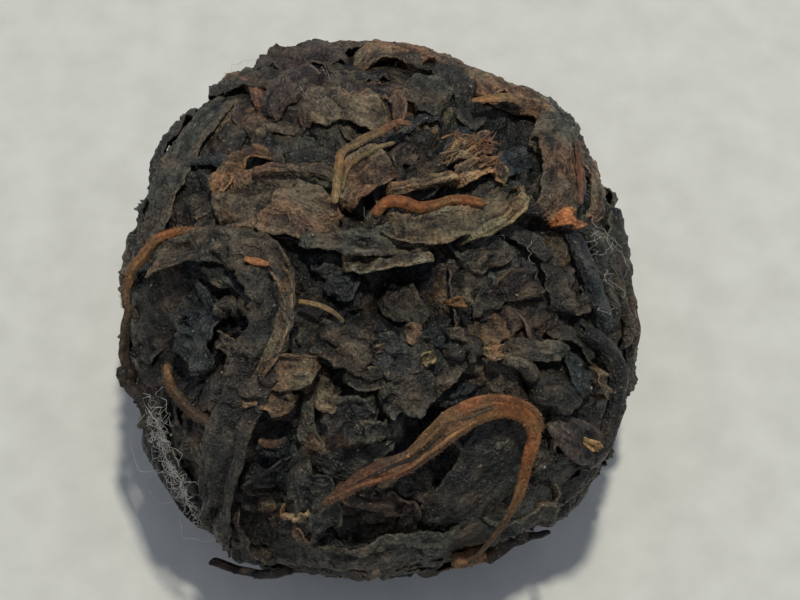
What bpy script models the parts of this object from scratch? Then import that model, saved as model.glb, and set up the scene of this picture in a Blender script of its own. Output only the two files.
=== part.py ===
"""A small pressed pu erh tea, about 25 mm across and 18 mm high, as one solid.

Whole leaves, rolled leaf strips and bare stems were steamed and pressed round one another in a
cloth, so the lump is a rounded, slightly square cushion that stands on a small flat spot.
The leaves and stems that show are modelled one by one and fused on a creased core.

Run it with blender --background --python part.py, or from Blender's text editor.
Metres, +Z up. The origin is the middle of the flat spot, and the side shown in front faces -Y.
"""

import math
import random

import bmesh
import bpy
from mathutils import Vector, noise

MM = 0.001

# Driving sizes of the pressed lump
MEAN_RADIUS = 12.8 * MM
HALF_HEIGHT = 9.0 * MM
SQUARENESS = 2.5
FLAT_SPOT_CUT = 0.4 * MM
CORE_INSET = 0.55 * MM
ROOT_DEPTH = 3.0 * MM
STEM_SIDES = 6

# The plan outline is a circle with these waves on it: how many round the lump, how far each
# stands out as a share of the radius, and the bearing of one crest, counted from the front
PLAN_WAVES = ((2, 0.039, 7), (3, 0.011, 85), (4, 0.018, 47), (5, 0.012, 58))

# Hollows between the leaves: side and over in degrees, radius and depth
HOLLOWS = (
    (-46, 52, 2.6 * MM, 1.5 * MM),
    (7, 63, 2.0 * MM, 1.4 * MM),
    (-12, 59, 1.5 * MM, 1.0 * MM),
    (-17, 71, 1.3 * MM, 0.7 * MM),
    (31, 121, 1.6 * MM, 1.1 * MM),
    (44, 84, 1.2 * MM, 0.9 * MM),
    (38, 42, 1.1 * MM, 0.8 * MM),
    (10, 28, 1.4 * MM, 0.8 * MM),
    (-12, 102, 1.3 * MM, 0.6 * MM),
)

# Each leaf and stem that shows lies along a route of (side, over) points, in degrees. Side runs
# from -90 at the left to 90 at the right, and over runs from 0 at the front, over 90 at the top,
# to 180 at the back. Then come its width and how far it stands proud of the lump, in millimetres.
BROAD_LEAVES = {
    "left_shoulder": (((-32, 146), (-46, 133), (-57, 114), (-65, 90)), 2.7, 0.1),
    "back_fold": (((-30, 150), (-19, 148), (-6, 148)), 1.9, 0.1),
    "back_top": (((-6, 145), (5, 147), (14, 146), (24, 141)), 2.0, 0.1),
    "back_right": (((26, 136), (34, 142), (43, 146)), 1.5, 0.2),
    "right_rim": (((42, 148), (51, 140), (60, 123)), 1.3, 0.1),
    "rust_crumple": (((-20, 123), (-8, 124), (6, 120)), 2.5, 0.3),
    "back_dark": (((6, 131), (12, 130), (18, 128)), 2.3, 0.1),
    "tan_edge": (((-41, 98), (-36, 107), (-27, 112)), 1.2, 0.5),
    "big_brown": (((-42, 91), (-28, 91), (-12, 87)), 2.6, 0.5),
    "tent_face": (((-8, 89), (-3, 98), (5, 104)), 1.8, 0.6),
    "olive_plate": (((4, 83), (17, 82), (30, 88), (37, 100)), 1.8, 0.6),
    "pale_leaf": (((22, 101), (29, 105), (35, 102)), 1.3, 0.5),
    "tongue": (((-7, 71), (2, 72), (16, 73)), 1.0, 0.5),
    "grey_ridge": (((-20, 81), (-7, 78), (9, 78)), 1.4, 0.3),
    "slate_leaf": (((32, 107), (37, 114), (42, 119)), 1.4, 0.2),
    "rust_leaf": (((45, 127), (48, 112), (47, 97)), 2.2, 0.4),
    "outer_right": (((72, 48), (72, 20), (67, 2), (59, -11)), 1.6, 0.1),
    "lower_right": (((37, -6), (49, -4), (60, 4)), 2.2, 0.1),
    "grey_fold": (((24, 72), (29, 76), (33, 82)), 1.5, 0.3),
    "mauve_lumps": (((30, 64), (35, 67), (41, 68)), 1.6, 0.2),
    "right_crumple": (((44, 75), (44, 67), (43, 59)), 1.7, 0.2),
    "light_wrinkle": (((31, 51), (38, 49), (45, 50)), 1.1, 0.4),
    "plum_fold": (((39, 29), (45, 20), (50, 9)), 1.8, 0.2),
    "blade": (((26, 36), (18, 26), (6, 13)), 4.0, 0.1),
    "bark_ribbon": (((-8, 24), (-1, 29), (6, 31), (11, 34), (15, 38), (22, 41)), 0.9, 0.8),
    "bottom_leaf": (((-11, 4), (-1, 6), (8, 7), (17, 4)), 2.4, 0.3),
    "pale_edged": (((22, 8), (31, 8), (39, 6)), 1.3, 0.3),
    "band_upper": (
        ((-59, 76), (-48, 80), (-37, 79), (-28, 74), (-22, 65), (-22, 54), (-24, 44)),
        1.7,
        0.9,
    ),
    "band_lower": (((-24, 49), (-27, 36), (-29, 20), (-30, 2), (-28, -16)), 2.1, 0.7),
    "olive_flap": (((-23, 46), (-18, 47), (-12, 48)), 1.3, 0.5),
    "mid_crumple": (((-14, 54), (-1, 51), (14, 52)), 2.0, 0.2),
    "low_crumple": (((-11, 38), (1, 40), (13, 43)), 2.1, 0.2),
    "lower_left": (((-40, -2), (-31, -14), (-20, -14)), 2.2, 0.2),
    "left_flank": (((-56, 20), (-48, 8), (-40, -4)), 2.2, 0.0),
}
ROLLED_STRIPS = {
    "mauve_roll": (((-27, 126), (-21, 133), (-13, 139)), 1.0, 0.3),
    "mauve_strip": (((-30, 100), (-21, 101), (-10, 97)), 0.6, 0.6),
    "dark_fold": (((-24, 106), (-17, 107), (-9, 105)), 0.8, 0.3),
    "pale_strip": (((3, 96), (13, 98), (23, 102)), 0.5, 0.6),
    "teal_tube": (((21, 110), (24, 118), (28, 124)), 1.2, 0.1),
    "right_strip_a": (((53, 94), (55, 79), (56, 63), (57, 50)), 0.7, 0.3),
    "right_strip_b": (((57, 108), (61, 90), (63, 70), (62, 50)), 0.7, 0.3),
    "right_strip_c": (((63, 104), (67, 80), (69, 52), (71, 24)), 0.7, 0.2),
    "right_stem": (((50, 53), (55, 46), (57, 36), (55, 25), (51, 15), (46, 6)), 0.9, 0.4),
    "curved_rim": (((28, 48), (32, 47), (35, 42)), 0.5, 0.4),
    "round_fold": (((34, 39), (40, 38), (43, 32)), 1.5, 0.2),
    "ochre_curl": (((-12, 40), (-9, 42), (-5, 41)), 0.8, 0.4),
}
BARE_STEMS = {
    "tent_edge": (((-10, 88), (-9, 99), (-5, 107), (4, 112), (9, 114)), 0.35, 0.9),
    "rust_rib": (((50, 131), (53, 117), (54, 103)), 0.4, 0.5),
    "top_stem": (((0, 86), (4, 90), (9, 91), (15, 89), (22, 91), (29, 90)), 0.5, 1.0),
    "orange_arch": (
        (
            ((9, 31), (14, 36), (20, 39), (26, 39.5), (31, 37), (32, 32))
            + ((30, 26), (28, 19), (25, 12), (21, 4), (18, -1))
        ),
        0.75,
        0.8,
    ),
    "red_stub": (((-7, 24), (-5, 22), (-1, 20), (5, 18)), 0.6, 0.3),
    "stub_end": (((16, -8), (20, -10), (25, -14)), 0.8, 0.4),
    "loose_stem_right": (((24, -16), (29, -15), (34, -13), (39, -10)), 0.5, 0.7),
    "loose_stem_left": (((-36, -18), (-29, -18), (-22, -17), (-13, -12)), 0.45, 0.6),
    "left_orange_stem": (
        ((-41, 83), (-48, 87), (-54, 88), (-60, 84), (-65, 78), (-68, 69), (-68, 58)),
        0.45,
        0.8,
    ),
    "left_dark_stem": (((-70, 62), (-73, 44), (-74, 28), (-72, 12)), 0.5, 0.4),
    "knob_stem": (((-72, 10), (-64, 12), (-57, 7), (-52, -3), (-46, -10), (-38, -15)), 0.5, 0.4),
    "fibrous_stem": (((-48, 43), (-46, 37), (-43, 34), (-37, 32), (-30, 31)), 0.5, 0.1),
}

# Leaves on the sides that the front view doesn't show
HIDDEN_LEAVES = 30
HIDDEN_SEED = 7
FRONT_VIEW = Vector((0, -0.5, 0.866))
SEEN_COSINE = 0.34
HIDDEN_LEAF_WIDTH = (1.7, 2.7)
HIDDEN_STRIP_WIDTH = (0.8, 1.2)
HIDDEN_HALF_SPAN = (0.16, 0.3)
HIDDEN_BEND = 0.06
HIDDEN_PROUD = 0.2

# The core: how many points it has round and up, how high its folds stand, how deep the creases
# between them lie, how wide both are, and how near the underside its relief fades to the flat spot
CORE_ROUND, CORE_HIGH = 44, 24
FOLD_HEIGHT = 1.3 * MM
CREASE_DEPTH = 0.28 * MM
SWELL_HEIGHT = 0.35 * MM
FOLDS_PER_MM = 0.42
SWELLS_PER_MM = 0.2
WARP_PER_MM = 0.25
WARP_MM = 1.2
WARP_SHIFTS = (Vector((9, -2, -8)), Vector((0, 0, 0)), Vector((-3, 5, -3)))
FLAT_STARTS, FLAT_ENDS = -0.75, -0.9

# A leaf's relief: its waves, how deep its ends are tucked in, how high its middle line is bowed
# and how far its edges drop from there
LEAF_WAVE = 0.28 * MM
LEAF_TUCK = 0.9 * MM
LEAF_BOW = 0.12 * MM
LEAF_EDGE_DROP = 0.3 * MM
STRIP_WAVE = 0.15 * MM
STRIP_TUCK = 0.7 * MM
STEM_WAVE = 0.1 * MM

# How much of its full width a leaf and a strip keep at the ends
LEAF_END_SHARE = 0.3
STRIP_END_SHARE = 0.45

# How far apart the points of a leaf and a stem are
LEAF_STEP = 1.25 * MM
LEAF_CROSS_STEP = 1.0 * MM
STEM_STEP = 1.1 * MM


def direction(side, over):
    """The unit direction from the lump's middle at these two angles, in degrees."""
    side, over = math.radians(side), math.radians(over)
    return Vector((math.sin(side), -math.cos(side) * math.cos(over), math.cos(side) * math.sin(over)))


def skin_radius(way):
    """How far the smooth outer form lies from its middle in this direction."""
    bearing = math.atan2(way.x, -way.y)
    swell = 1 + sum(
        share * math.cos(waves * (bearing - math.radians(crest))) for waves, share, crest in PLAN_WAVES
    )
    level = math.hypot(way.x, way.y) / (MEAN_RADIUS * swell)
    upright = abs(way.z) / HALF_HEIGHT
    return (level**SQUARENESS + upright**SQUARENESS) ** (-1 / SQUARENESS)


def on_skin(way, lift):
    """A point that stands this far proud of the outer form."""
    middle = Vector((0, 0, HALF_HEIGHT - FLAT_SPOT_CUT))
    return middle + way * (skin_radius(way) + lift)


def along_route(route, share):
    """The direction at this share of a smooth route through unit directions, and the way it runs."""
    spans = len(route) - 1
    place = min(max(share, 0.0), 0.9999) * spans
    first = int(place)
    t = place - first
    before, start, end, after = (route[min(max(first + step, 0), spans)] for step in (-1, 0, 1, 2))
    bend = (2 * before - 5 * start + 4 * end - after) * t * t + (3 * start - before - 3 * end + after) * t**3
    point = (2 * start + (end - before) * t + bend) / 2
    slope = (end - before) + 2 * (2 * before - 5 * start + 4 * end - after) * t
    slope += 3 * (3 * start - before - 3 * end + after) * t * t
    return point.normalized(), slope.normalized()


def route_length(route):
    """The length of a route on the outer form."""
    points = [on_skin(along_route(route, step / 12)[0], 0) for step in range(13)]
    return sum((b - a).length for a, b in zip(points, points[1:]))


def lay(route, share, across, lift):
    """The point at this share of a route, this far to its side and this far proud of the form."""
    way, runs = along_route(route, share)
    sideways = runs.cross(way).normalized()
    beside = way * skin_radius(way) + sideways * across
    return on_skin(beside.normalized(), lift)


def new_object(name, mesh_builder, collection):
    """An object of this name, with the mesh that a bmesh gives."""
    mesh = bpy.data.meshes.new(name)
    bmesh.ops.recalc_face_normals(mesh_builder, faces=mesh_builder.faces)
    mesh_builder.to_mesh(mesh)
    mesh_builder.free()
    made = bpy.data.objects.new(name, mesh)
    collection.objects.link(made)
    return made


def unit_slab(cells_along, cells_across):
    """A slab from -1 to 1 along X and Y and 0 to 1 in Z, with both faces split alike."""
    bm = bmesh.new()
    bmesh.ops.create_grid(bm, x_segments=cells_along, y_segments=cells_across, size=1)
    bmesh.ops.triangulate(bm, faces=bm.faces, quad_method="FIXED")
    raised = bmesh.ops.extrude_face_region(bm, geom=bm.faces[:])["geom"]
    top = [part for part in raised if isinstance(part, bmesh.types.BMVert)]
    bmesh.ops.translate(bm, verts=top, vec=(0, 0, 1))
    return bm


def unit_rod(rings):
    """A closed rod of radius 1 from -1 to 1 along Z, with a ring of points at each step."""
    bm = bmesh.new()
    bmesh.ops.create_circle(bm, segments=STEM_SIDES, radius=1)
    bmesh.ops.translate(bm, verts=bm.verts, vec=(0, 0, -1))
    ring = bm.edges[:]
    for _ in range(rings):
        grown = bmesh.ops.extrude_edge_only(bm, edges=ring)["geom"]
        points = [part for part in grown if isinstance(part, bmesh.types.BMVert)]
        bmesh.ops.translate(bm, verts=points, vec=(0, 0, 2 / rings))
        ring = [part for part in grown if isinstance(part, bmesh.types.BMEdge)]
    bmesh.ops.holes_fill(bm, edges=[edge for edge in bm.edges if edge.is_boundary], sides=0)
    bmesh.ops.triangulate(bm, faces=bm.faces)
    return bm


def wavy(seed, share, across):
    """A smooth random height from about -1 to 1 over a leaf."""
    return noise.noise(Vector((share * 3.1 + seed * 7.3, across * 1.3, seed * 3.7)))


def tapered(s, end_share):
    """The share of its full width that a leaf has at s, which runs from -1 at one end to 1."""
    return end_share + (1 - end_share) * (1 - abs(s) ** 2.6) ** 0.6


def broad_leaf(name, spots, width, proud, seed, collection):
    """A wavy leaf pressed into the lump, narrower at both ends."""
    route = [direction(*spot) for spot in spots]
    length = route_length(route)
    cells_along = max(3, round(length / LEAF_STEP))
    cells_across = max(2, round(width * MM / LEAF_CROSS_STEP))
    bm = unit_slab(cells_along, cells_across)
    for vert in bm.verts:
        s, t, layer = vert.co
        lift = proud * MM + LEAF_WAVE * wavy(seed, s, t) - LEAF_TUCK * abs(s) ** 6
        lift += LEAF_BOW - LEAF_EDGE_DROP * t * t
        across = t * width * MM / 2 * tapered(s, LEAF_END_SHARE)
        vert.co = lay(route, (s + 1) / 2, across, lift if layer > 0.5 else -ROOT_DEPTH)
    return new_object(name, bm, collection)


def rolled_strip(name, spots, width, proud, seed, collection):
    """A leaf rolled up lengthwise: an arched strip that thins towards its ends."""
    route = [direction(*spot) for spot in spots]
    cells_along = max(3, round(route_length(route) / LEAF_STEP))
    bm = unit_slab(cells_along, 3)
    half = width * MM / 2
    for vert in bm.verts:
        s, t, layer = vert.co
        thickness = half * tapered(s, STRIP_END_SHARE)
        arch = thickness * math.sqrt(max(0.0, 1 - t * t))
        lift = proud * MM + arch - thickness + STRIP_WAVE * wavy(seed, s, 0.0) - STRIP_TUCK * abs(s) ** 6
        vert.co = lay(route, (s + 1) / 2, t * thickness, lift if layer > 0.5 else -ROOT_DEPTH)
    return new_object(name, bm, collection)


def bare_stem(name, spots, width, proud, seed, collection):
    """A leaf stalk: a rod with blunt ends, a little thicker at one end, rooted unless it is loose."""
    route = [direction(*spot) for spot in spots]
    rings = max(3, round(route_length(route) / STEM_STEP))
    bm = unit_rod(rings)
    for vert in bm.verts:
        x, y, s = vert.co
        thickness = width * MM / 2 * (1 + 0.12 * wavy(seed, s, 0.0) - 0.15 * s)
        rise = proud * MM - width * MM / 2 + STEM_WAVE * wavy(seed + 1, s, 0.0)
        sunk = y < -0.5 and not name.startswith("loose")
        vert.co = lay(route, (s + 1) / 2, x * thickness, -ROOT_DEPTH if sunk else rise + y * thickness)
    return new_object(name, bm, collection)


def hollow_depth(way):
    """How deep the hollows between the leaves are in this direction."""
    depth = 0.0
    for side, over, radius, deepest in HOLLOWS:
        apart = (way - direction(side, over)).length * MEAN_RADIUS
        depth += deepest * math.exp(-((apart / radius) ** 2))
    return depth


def creases(way):
    """The core's relief: rounded folds with narrow creases between them."""
    spot = way * (MEAN_RADIUS / MM)
    warp = Vector([noise.noise(spot * WARP_PER_MM + shift) for shift in WARP_SHIFTS])
    folds = abs(noise.noise((spot + warp * WARP_MM) * FOLDS_PER_MM))
    return folds * FOLD_HEIGHT - CREASE_DEPTH + noise.noise(spot * SWELLS_PER_MM) * SWELL_HEIGHT


def core_lift(way):
    """How far the core's surface lies from the outer form: on it at the underside, inside elsewhere."""
    share = min(max((way.z - FLAT_ENDS) / (FLAT_STARTS - FLAT_ENDS), 0.0), 1.0)
    return share * (creases(way) - CORE_INSET - hollow_depth(way))


def creased_core():
    """The mass that the leaves lie on, creased all over and hollowed where no leaf covers it."""
    bm = bmesh.new()
    bmesh.ops.create_uvsphere(bm, u_segments=CORE_ROUND, v_segments=CORE_HIGH, radius=1)
    bmesh.ops.triangulate(bm, faces=bm.faces)
    for vert in bm.verts:
        way = vert.co.normalized()
        vert.co = on_skin(way, core_lift(way))
    return new_object("pressed_tea", bm, bpy.context.scene.collection)


def hidden_route(draw, index):
    """A random short route for one leaf on the sides that the front view doesn't show, or None."""
    height = 1 - 2 * (index + 0.5) / (HIDDEN_LEAVES * 2)
    turn = index * math.pi * (3 - math.sqrt(5))
    level = math.sqrt(1 - height * height)
    middle = Vector((level * math.cos(turn), level * math.sin(turn), height))
    heading = draw.uniform(0, math.pi)
    half_span = draw.uniform(*HIDDEN_HALF_SPAN)
    if middle.dot(FRONT_VIEW) > SEEN_COSINE:
        return None
    east = middle.cross(Vector((0, 0, 1))).normalized()
    runs = east * math.cos(heading) + middle.cross(east) * math.sin(heading)
    bend = middle.cross(runs) * draw.uniform(-HIDDEN_BEND, HIDDEN_BEND)
    ways = (middle - runs * half_span, middle + bend, middle + runs * half_span)
    return [way.normalized() for way in ways]


def spot_of(way):
    """The side and over angles of a unit direction, in degrees."""
    return math.degrees(math.asin(way.x)), math.degrees(math.atan2(way.z, -way.y))


def hidden_leaves(collection):
    """Leaves and rolled strips scattered by rule over the back, the flanks and the underside."""
    draw = random.Random(HIDDEN_SEED)
    for index in range(HIDDEN_LEAVES * 2):
        route = hidden_route(draw, index)
        if route is None:
            continue
        spots = [spot_of(way) for way in route]
        if index % 3:
            width = draw.uniform(*HIDDEN_LEAF_WIDTH)
            broad_leaf(f"hidden_leaf_{index}", spots, width, HIDDEN_PROUD, index, collection)
        else:
            width = draw.uniform(*HIDDEN_STRIP_WIDTH)
            rolled_strip(f"hidden_strip_{index}", spots, width, HIDDEN_PROUD, index, collection)


def keep_largest_shell(bm):
    """Drops loose scraps and fills sealed hollows, by keeping only the shell with the most points."""
    waiting = set(bm.verts)
    shells = []
    while waiting:
        shell, edge_of_search = set(), [waiting.pop()]
        while edge_of_search:
            vert = edge_of_search.pop()
            shell.add(vert)
            near = [edge.other_vert(vert) for edge in vert.link_edges]
            fresh = [other for other in near if other in waiting]
            waiting.difference_update(fresh)
            edge_of_search.extend(fresh)
        shells.append(shell)
    largest = max(shells, key=len)
    scraps = [vert for shell in shells if shell is not largest for vert in shell]
    bmesh.ops.delete(bm, geom=scraps, context="VERTS")


def floor_block():
    """A block under the floor, which cuts the flat spot that the lump stands on."""
    bm = bmesh.new()
    bmesh.ops.create_cube(bm, size=4 * MEAN_RADIUS)
    bmesh.ops.translate(bm, verts=bm.verts, vec=(0, 0, -2 * MEAN_RADIUS))
    block = new_object("floor_block", bm, bpy.context.scene.collection)
    block.hide_render = True
    block.display_type = "WIRE"
    return block


def fuse(core, pieces):
    """Joins every leaf and stem to the core with one Boolean union, and trims them at the floor."""
    press = core.modifiers.new("press", "BOOLEAN")
    press.operation = "UNION"
    press.solver = "EXACT"
    press.operand_type = "COLLECTION"
    press.collection = pieces
    block = floor_block()
    flat_spot = core.modifiers.new("flat_spot", "BOOLEAN")
    flat_spot.operation = "DIFFERENCE"
    flat_spot.solver = "EXACT"
    flat_spot.object = block
    graph = bpy.context.evaluated_depsgraph_get()
    bm = bmesh.new()
    bm.from_object(core, graph)
    core.modifiers.clear()
    for used in [*pieces.objects, block]:
        bpy.data.objects.remove(used)
    bpy.data.collections.remove(pieces)
    keep_largest_shell(bm)
    bmesh.ops.triangulate(bm, faces=bm.faces)
    bm.to_mesh(core.data)
    bm.free()


def tea_material():
    """Dark, dry pressed leaf."""
    material = bpy.data.materials.new("pressed_leaf")
    material.use_nodes = True
    shader = material.node_tree.nodes["Principled BSDF"]
    shader.inputs["Base Color"].default_value = (0.035, 0.029, 0.022, 1)
    shader.inputs["Roughness"].default_value = 0.6
    shader.inputs["Metallic"].default_value = 0.0
    return material


def build():
    """Makes the core, lays every leaf and stem on it, and fuses them."""
    for old in list(bpy.data.objects):
        bpy.data.objects.remove(old)
    pieces = bpy.data.collections.new("leaves_and_stems")
    bpy.context.scene.collection.children.link(pieces)
    core = creased_core()
    kinds = ((BROAD_LEAVES, broad_leaf), (ROLLED_STRIPS, rolled_strip), (BARE_STEMS, bare_stem))
    for table, make in kinds:
        for seed, (name, (spots, width, proud)) in enumerate(table.items()):
            make(name, spots, width, proud, seed, pieces)
    hidden_leaves(pieces)
    fuse(core, pieces)
    core.data.materials.clear()
    core.data.materials.append(tea_material())


build()
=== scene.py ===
# %% [markdown]
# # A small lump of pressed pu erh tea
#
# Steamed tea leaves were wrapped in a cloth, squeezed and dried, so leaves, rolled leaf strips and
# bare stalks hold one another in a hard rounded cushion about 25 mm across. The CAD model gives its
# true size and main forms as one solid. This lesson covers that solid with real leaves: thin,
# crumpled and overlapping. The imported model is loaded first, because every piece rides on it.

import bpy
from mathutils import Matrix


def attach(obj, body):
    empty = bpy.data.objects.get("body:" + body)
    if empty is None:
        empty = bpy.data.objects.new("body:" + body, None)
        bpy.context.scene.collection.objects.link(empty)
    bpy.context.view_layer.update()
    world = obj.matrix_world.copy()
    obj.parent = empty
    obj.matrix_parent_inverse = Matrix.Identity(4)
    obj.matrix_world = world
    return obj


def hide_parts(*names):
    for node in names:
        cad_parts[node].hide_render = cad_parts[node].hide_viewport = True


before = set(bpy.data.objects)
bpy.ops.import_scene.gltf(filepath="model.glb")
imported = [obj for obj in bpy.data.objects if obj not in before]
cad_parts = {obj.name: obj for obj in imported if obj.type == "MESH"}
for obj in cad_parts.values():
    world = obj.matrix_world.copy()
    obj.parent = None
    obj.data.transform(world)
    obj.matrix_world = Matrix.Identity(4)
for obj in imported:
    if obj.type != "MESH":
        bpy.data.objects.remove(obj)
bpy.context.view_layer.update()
print("the solid that the leaves will cover:", sorted(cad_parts))

# %% [markdown]
# ## Tools and units
#
# Blender measures in metres, and a tea leaf is tenths of a millimetre thick. One name for a
# millimetre keeps every size below readable. bmesh is Blender's workbench for meshes, and the
# noise functions give the same unevenness on every run.

# %% Tools and units
import math
import random

import bmesh
import bpy
from mathutils import Vector, noise

MM = 0.001
scene = bpy.context.scene
print("Blender", bpy.app.version_string, "with one millimetre as", MM)

# %% [markdown]
# ## Camera
#
# The photograph looks down on the lump at about 60 degrees from close by. A camera could be aimed
# with a Track To constraint, but a fixed turn about X is simpler and never drifts. The small step to
# the right and up puts the lump a little left of and below the middle of the frame, as it is there,
# so the lens needs no shift.

# %% Camera
VIEW_HEIGHT_ANGLE = 60
CAMERA_DISTANCE = 95 * MM
LENS, SENSOR_WIDTH = 90, 36
STEP_RIGHT, STEP_UP = 1.12 * MM, 0.40 * MM
LUMP_MIDDLE = Vector((0, 0, 8.6 * MM))

tilt = math.radians(VIEW_HEIGHT_ANGLE)
backward = Vector((0, -math.cos(tilt), math.sin(tilt)))
upward = Vector((0, math.sin(tilt), math.cos(tilt)))
camera_data = bpy.data.cameras.new("photo_view")
camera_data.lens, camera_data.sensor_width = LENS, SENSOR_WIDTH
camera_data.clip_start = 5 * MM
camera = bpy.data.objects.new("photo_view", camera_data)
camera.location = LUMP_MIDDLE + backward * CAMERA_DISTANCE + upward * STEP_UP + Vector((STEP_RIGHT, 0, 0))
camera.rotation_euler = (math.pi / 2 - tilt, 0, 0)
scene.collection.objects.link(camera)
scene.camera = camera
print("camera at", [round(1000 * value, 1) for value in camera.location], "mm")

# %% [markdown]
# ## The floor
#
# The lump stands on a plain pale surface. One square face is enough for it.

# %% The floor
FLOOR_SIZE = 600 * MM
floor_mesh = bmesh.new()
bmesh.ops.create_grid(floor_mesh, x_segments=1, y_segments=1, size=FLOOR_SIZE / 2)
floor_data = bpy.data.meshes.new("floor")
floor_mesh.to_mesh(floor_data)
floor_mesh.free()
floor = bpy.data.objects.new("floor", floor_data)
scene.collection.objects.link(floor)
print("the floor is", round(FLOOR_SIZE / MM), "mm wide")

# %% [markdown]
# ## The lamp
#
# The shadow in the photograph is narrow, falls towards the viewer and has a fairly sharp edge. A sun
# lamp would make it too sharp and a large softbox too faint, so this is a small area lamp high
# above the lump, a little behind it and to the right.

# %% The lamp
LIGHT_SIZE = 15 * MM
LIGHT_PLACE = Vector((18 * MM, 13 * MM, 255 * MM))
LIGHT_POWER = 0.43
LIGHT_COLOUR = (1.0, 0.98, 0.93)

soft_box = bpy.data.lights.new("soft_box", "AREA")
soft_box.size = LIGHT_SIZE
soft_box.energy = LIGHT_POWER
soft_box.color = LIGHT_COLOUR
light = bpy.data.objects.new("soft_box", soft_box)
light.location = LIGHT_PLACE
light.rotation_euler = (LIGHT_PLACE - LUMP_MIDDLE).to_track_quat("Z", "Y").to_euler()
scene.collection.objects.link(light)
print("the lamp hangs", round(LIGHT_PLACE.z / MM), "mm above the floor")

# %% [markdown]
# ## Light from all round
#
# A room adds faint light from every side. The world's plain bluish colour does that here: it fills
# the shadow and keeps the hollows from going black. The Standard view keeps the pale floor pale.

# %% Light from all round
SKY_COLOUR, SKY_STRENGTH = (0.70, 0.78, 1.0, 1), 0.45

world = bpy.data.worlds.new("studio")
world.use_nodes = True
background = world.node_tree.nodes["Background"]
background.inputs["Color"].default_value = SKY_COLOUR
background.inputs["Strength"].default_value = SKY_STRENGTH
scene.world = world
scene.view_settings.view_transform = "Standard"
print("light from all round:", SKY_COLOUR[:3], "at strength", SKY_STRENGTH)

# %% [markdown]
# ## The outer form
#
# Everything lies on one rounded form, so that form is a function: it says how far the skin of the
# lump is from its middle in any direction. A flattened ball whose sides are a little square comes
# from a power law (a superellipsoid), and a few slow waves round it give the uneven outline. These
# are the same named sizes as in the CAD source.

# %% The outer form
MEAN_RADIUS = 12.8 * MM
HALF_HEIGHT = 9.0 * MM
SQUARENESS = 2.5
FLAT_SPOT_CUT = 0.4 * MM
LOWEST_POINT = 0.02 * MM
# How many waves round the lump, how far each stands out, and the bearing of one crest
PLAN_WAVES = ((2, 0.039, 7), (3, 0.011, 85), (4, 0.018, 47), (5, 0.012, 58))


def direction(side, over):
    """The unit direction at these angles: side from -90 left to 90 right, over 0 front, 90 top, 180 back."""
    side, over = math.radians(side), math.radians(over)
    return Vector((math.sin(side), -math.cos(side) * math.cos(over), math.cos(side) * math.sin(over)))


def skin_radius(way):
    """How far the smooth outer form lies from its middle in this direction."""
    bearing = math.atan2(way.x, -way.y)
    swell = 1 + sum(
        share * math.cos(waves * (bearing - math.radians(crest))) for waves, share, crest in PLAN_WAVES
    )
    level = math.hypot(way.x, way.y) / (MEAN_RADIUS * swell)
    upright = abs(way.z) / HALF_HEIGHT
    return (level**SQUARENESS + upright**SQUARENESS) ** (-1 / SQUARENESS)


def on_skin(way, lift):
    """A point that stands this far proud of the outer form, and never below the floor."""
    point = Vector((0, 0, HALF_HEIGHT - FLAT_SPOT_CUT)) + way * (skin_radius(way) + lift)
    point.z = max(point.z, LOWEST_POINT)
    return point


half_sizes = [round(skin_radius(Vector(way)) / MM, 1) for way in ((1, 0, 0), (0, -1, 0))]
print("half width and half depth in mm:", *half_sizes)

# %% [markdown]
# ## Laying a leaf along a route
#
# A leaf or stalk follows a curved route over the lump. The route is a short list of directions, and
# a Catmull-Rom curve runs smoothly through them. Each leaf is then made flat, as a simple sheet
# from -1 to 1, and every point of it is laid on the route: so far along, so far to the side, and so
# far out from the skin. It is like bending a paper strip round a ball.

# %% Routes
def along_route(route, share):
    """The direction at this share of a route through unit directions, and the way it runs there."""
    spans = len(route) - 1
    place = min(max(share, 0.0), 0.9999) * spans
    first = int(place)
    t = place - first
    before, start, end, after = (route[min(max(first + step, 0), spans)] for step in (-1, 0, 1, 2))
    bend = (2 * before - 5 * start + 4 * end - after) * t * t + (3 * start - before - 3 * end + after) * t**3
    point = (2 * start + (end - before) * t + bend) / 2
    slope = (end - before) + 2 * (2 * before - 5 * start + 4 * end - after) * t
    slope += 3 * (3 * start - before - 3 * end + after) * t * t
    return point.normalized(), slope.normalized()


def route_length(route):
    """The length of a route on the outer form."""
    points = [on_skin(along_route(route, step / 12)[0], 0) for step in range(13)]
    return sum((b - a).length for a, b in zip(points, points[1:]))


def lay(route, share, across, lift):
    """The point at this share of a route, this far to its side and this far proud of the form."""
    way, runs = along_route(route, share)
    sideways = runs.cross(way).normalized()
    beside = way * skin_radius(way) + sideways * across
    return on_skin(beside.normalized(), lift)


over_the_top = [direction(0, over) for over in (0, 60, 120, 180)]
print("from the front over the top to the back in mm:", round(route_length(over_the_top) / MM, 1))

# %% [markdown]
# ## Leaf colours
#
# Fermented leaf is almost black, but each leaf differs: some are teal-black where the cloth pressed
# them smooth, others brown, olive or plum, and the driest edges go tan. The colours are linear
# values, and each leaf carries its own as a point attribute, so that one material serves them all.

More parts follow.
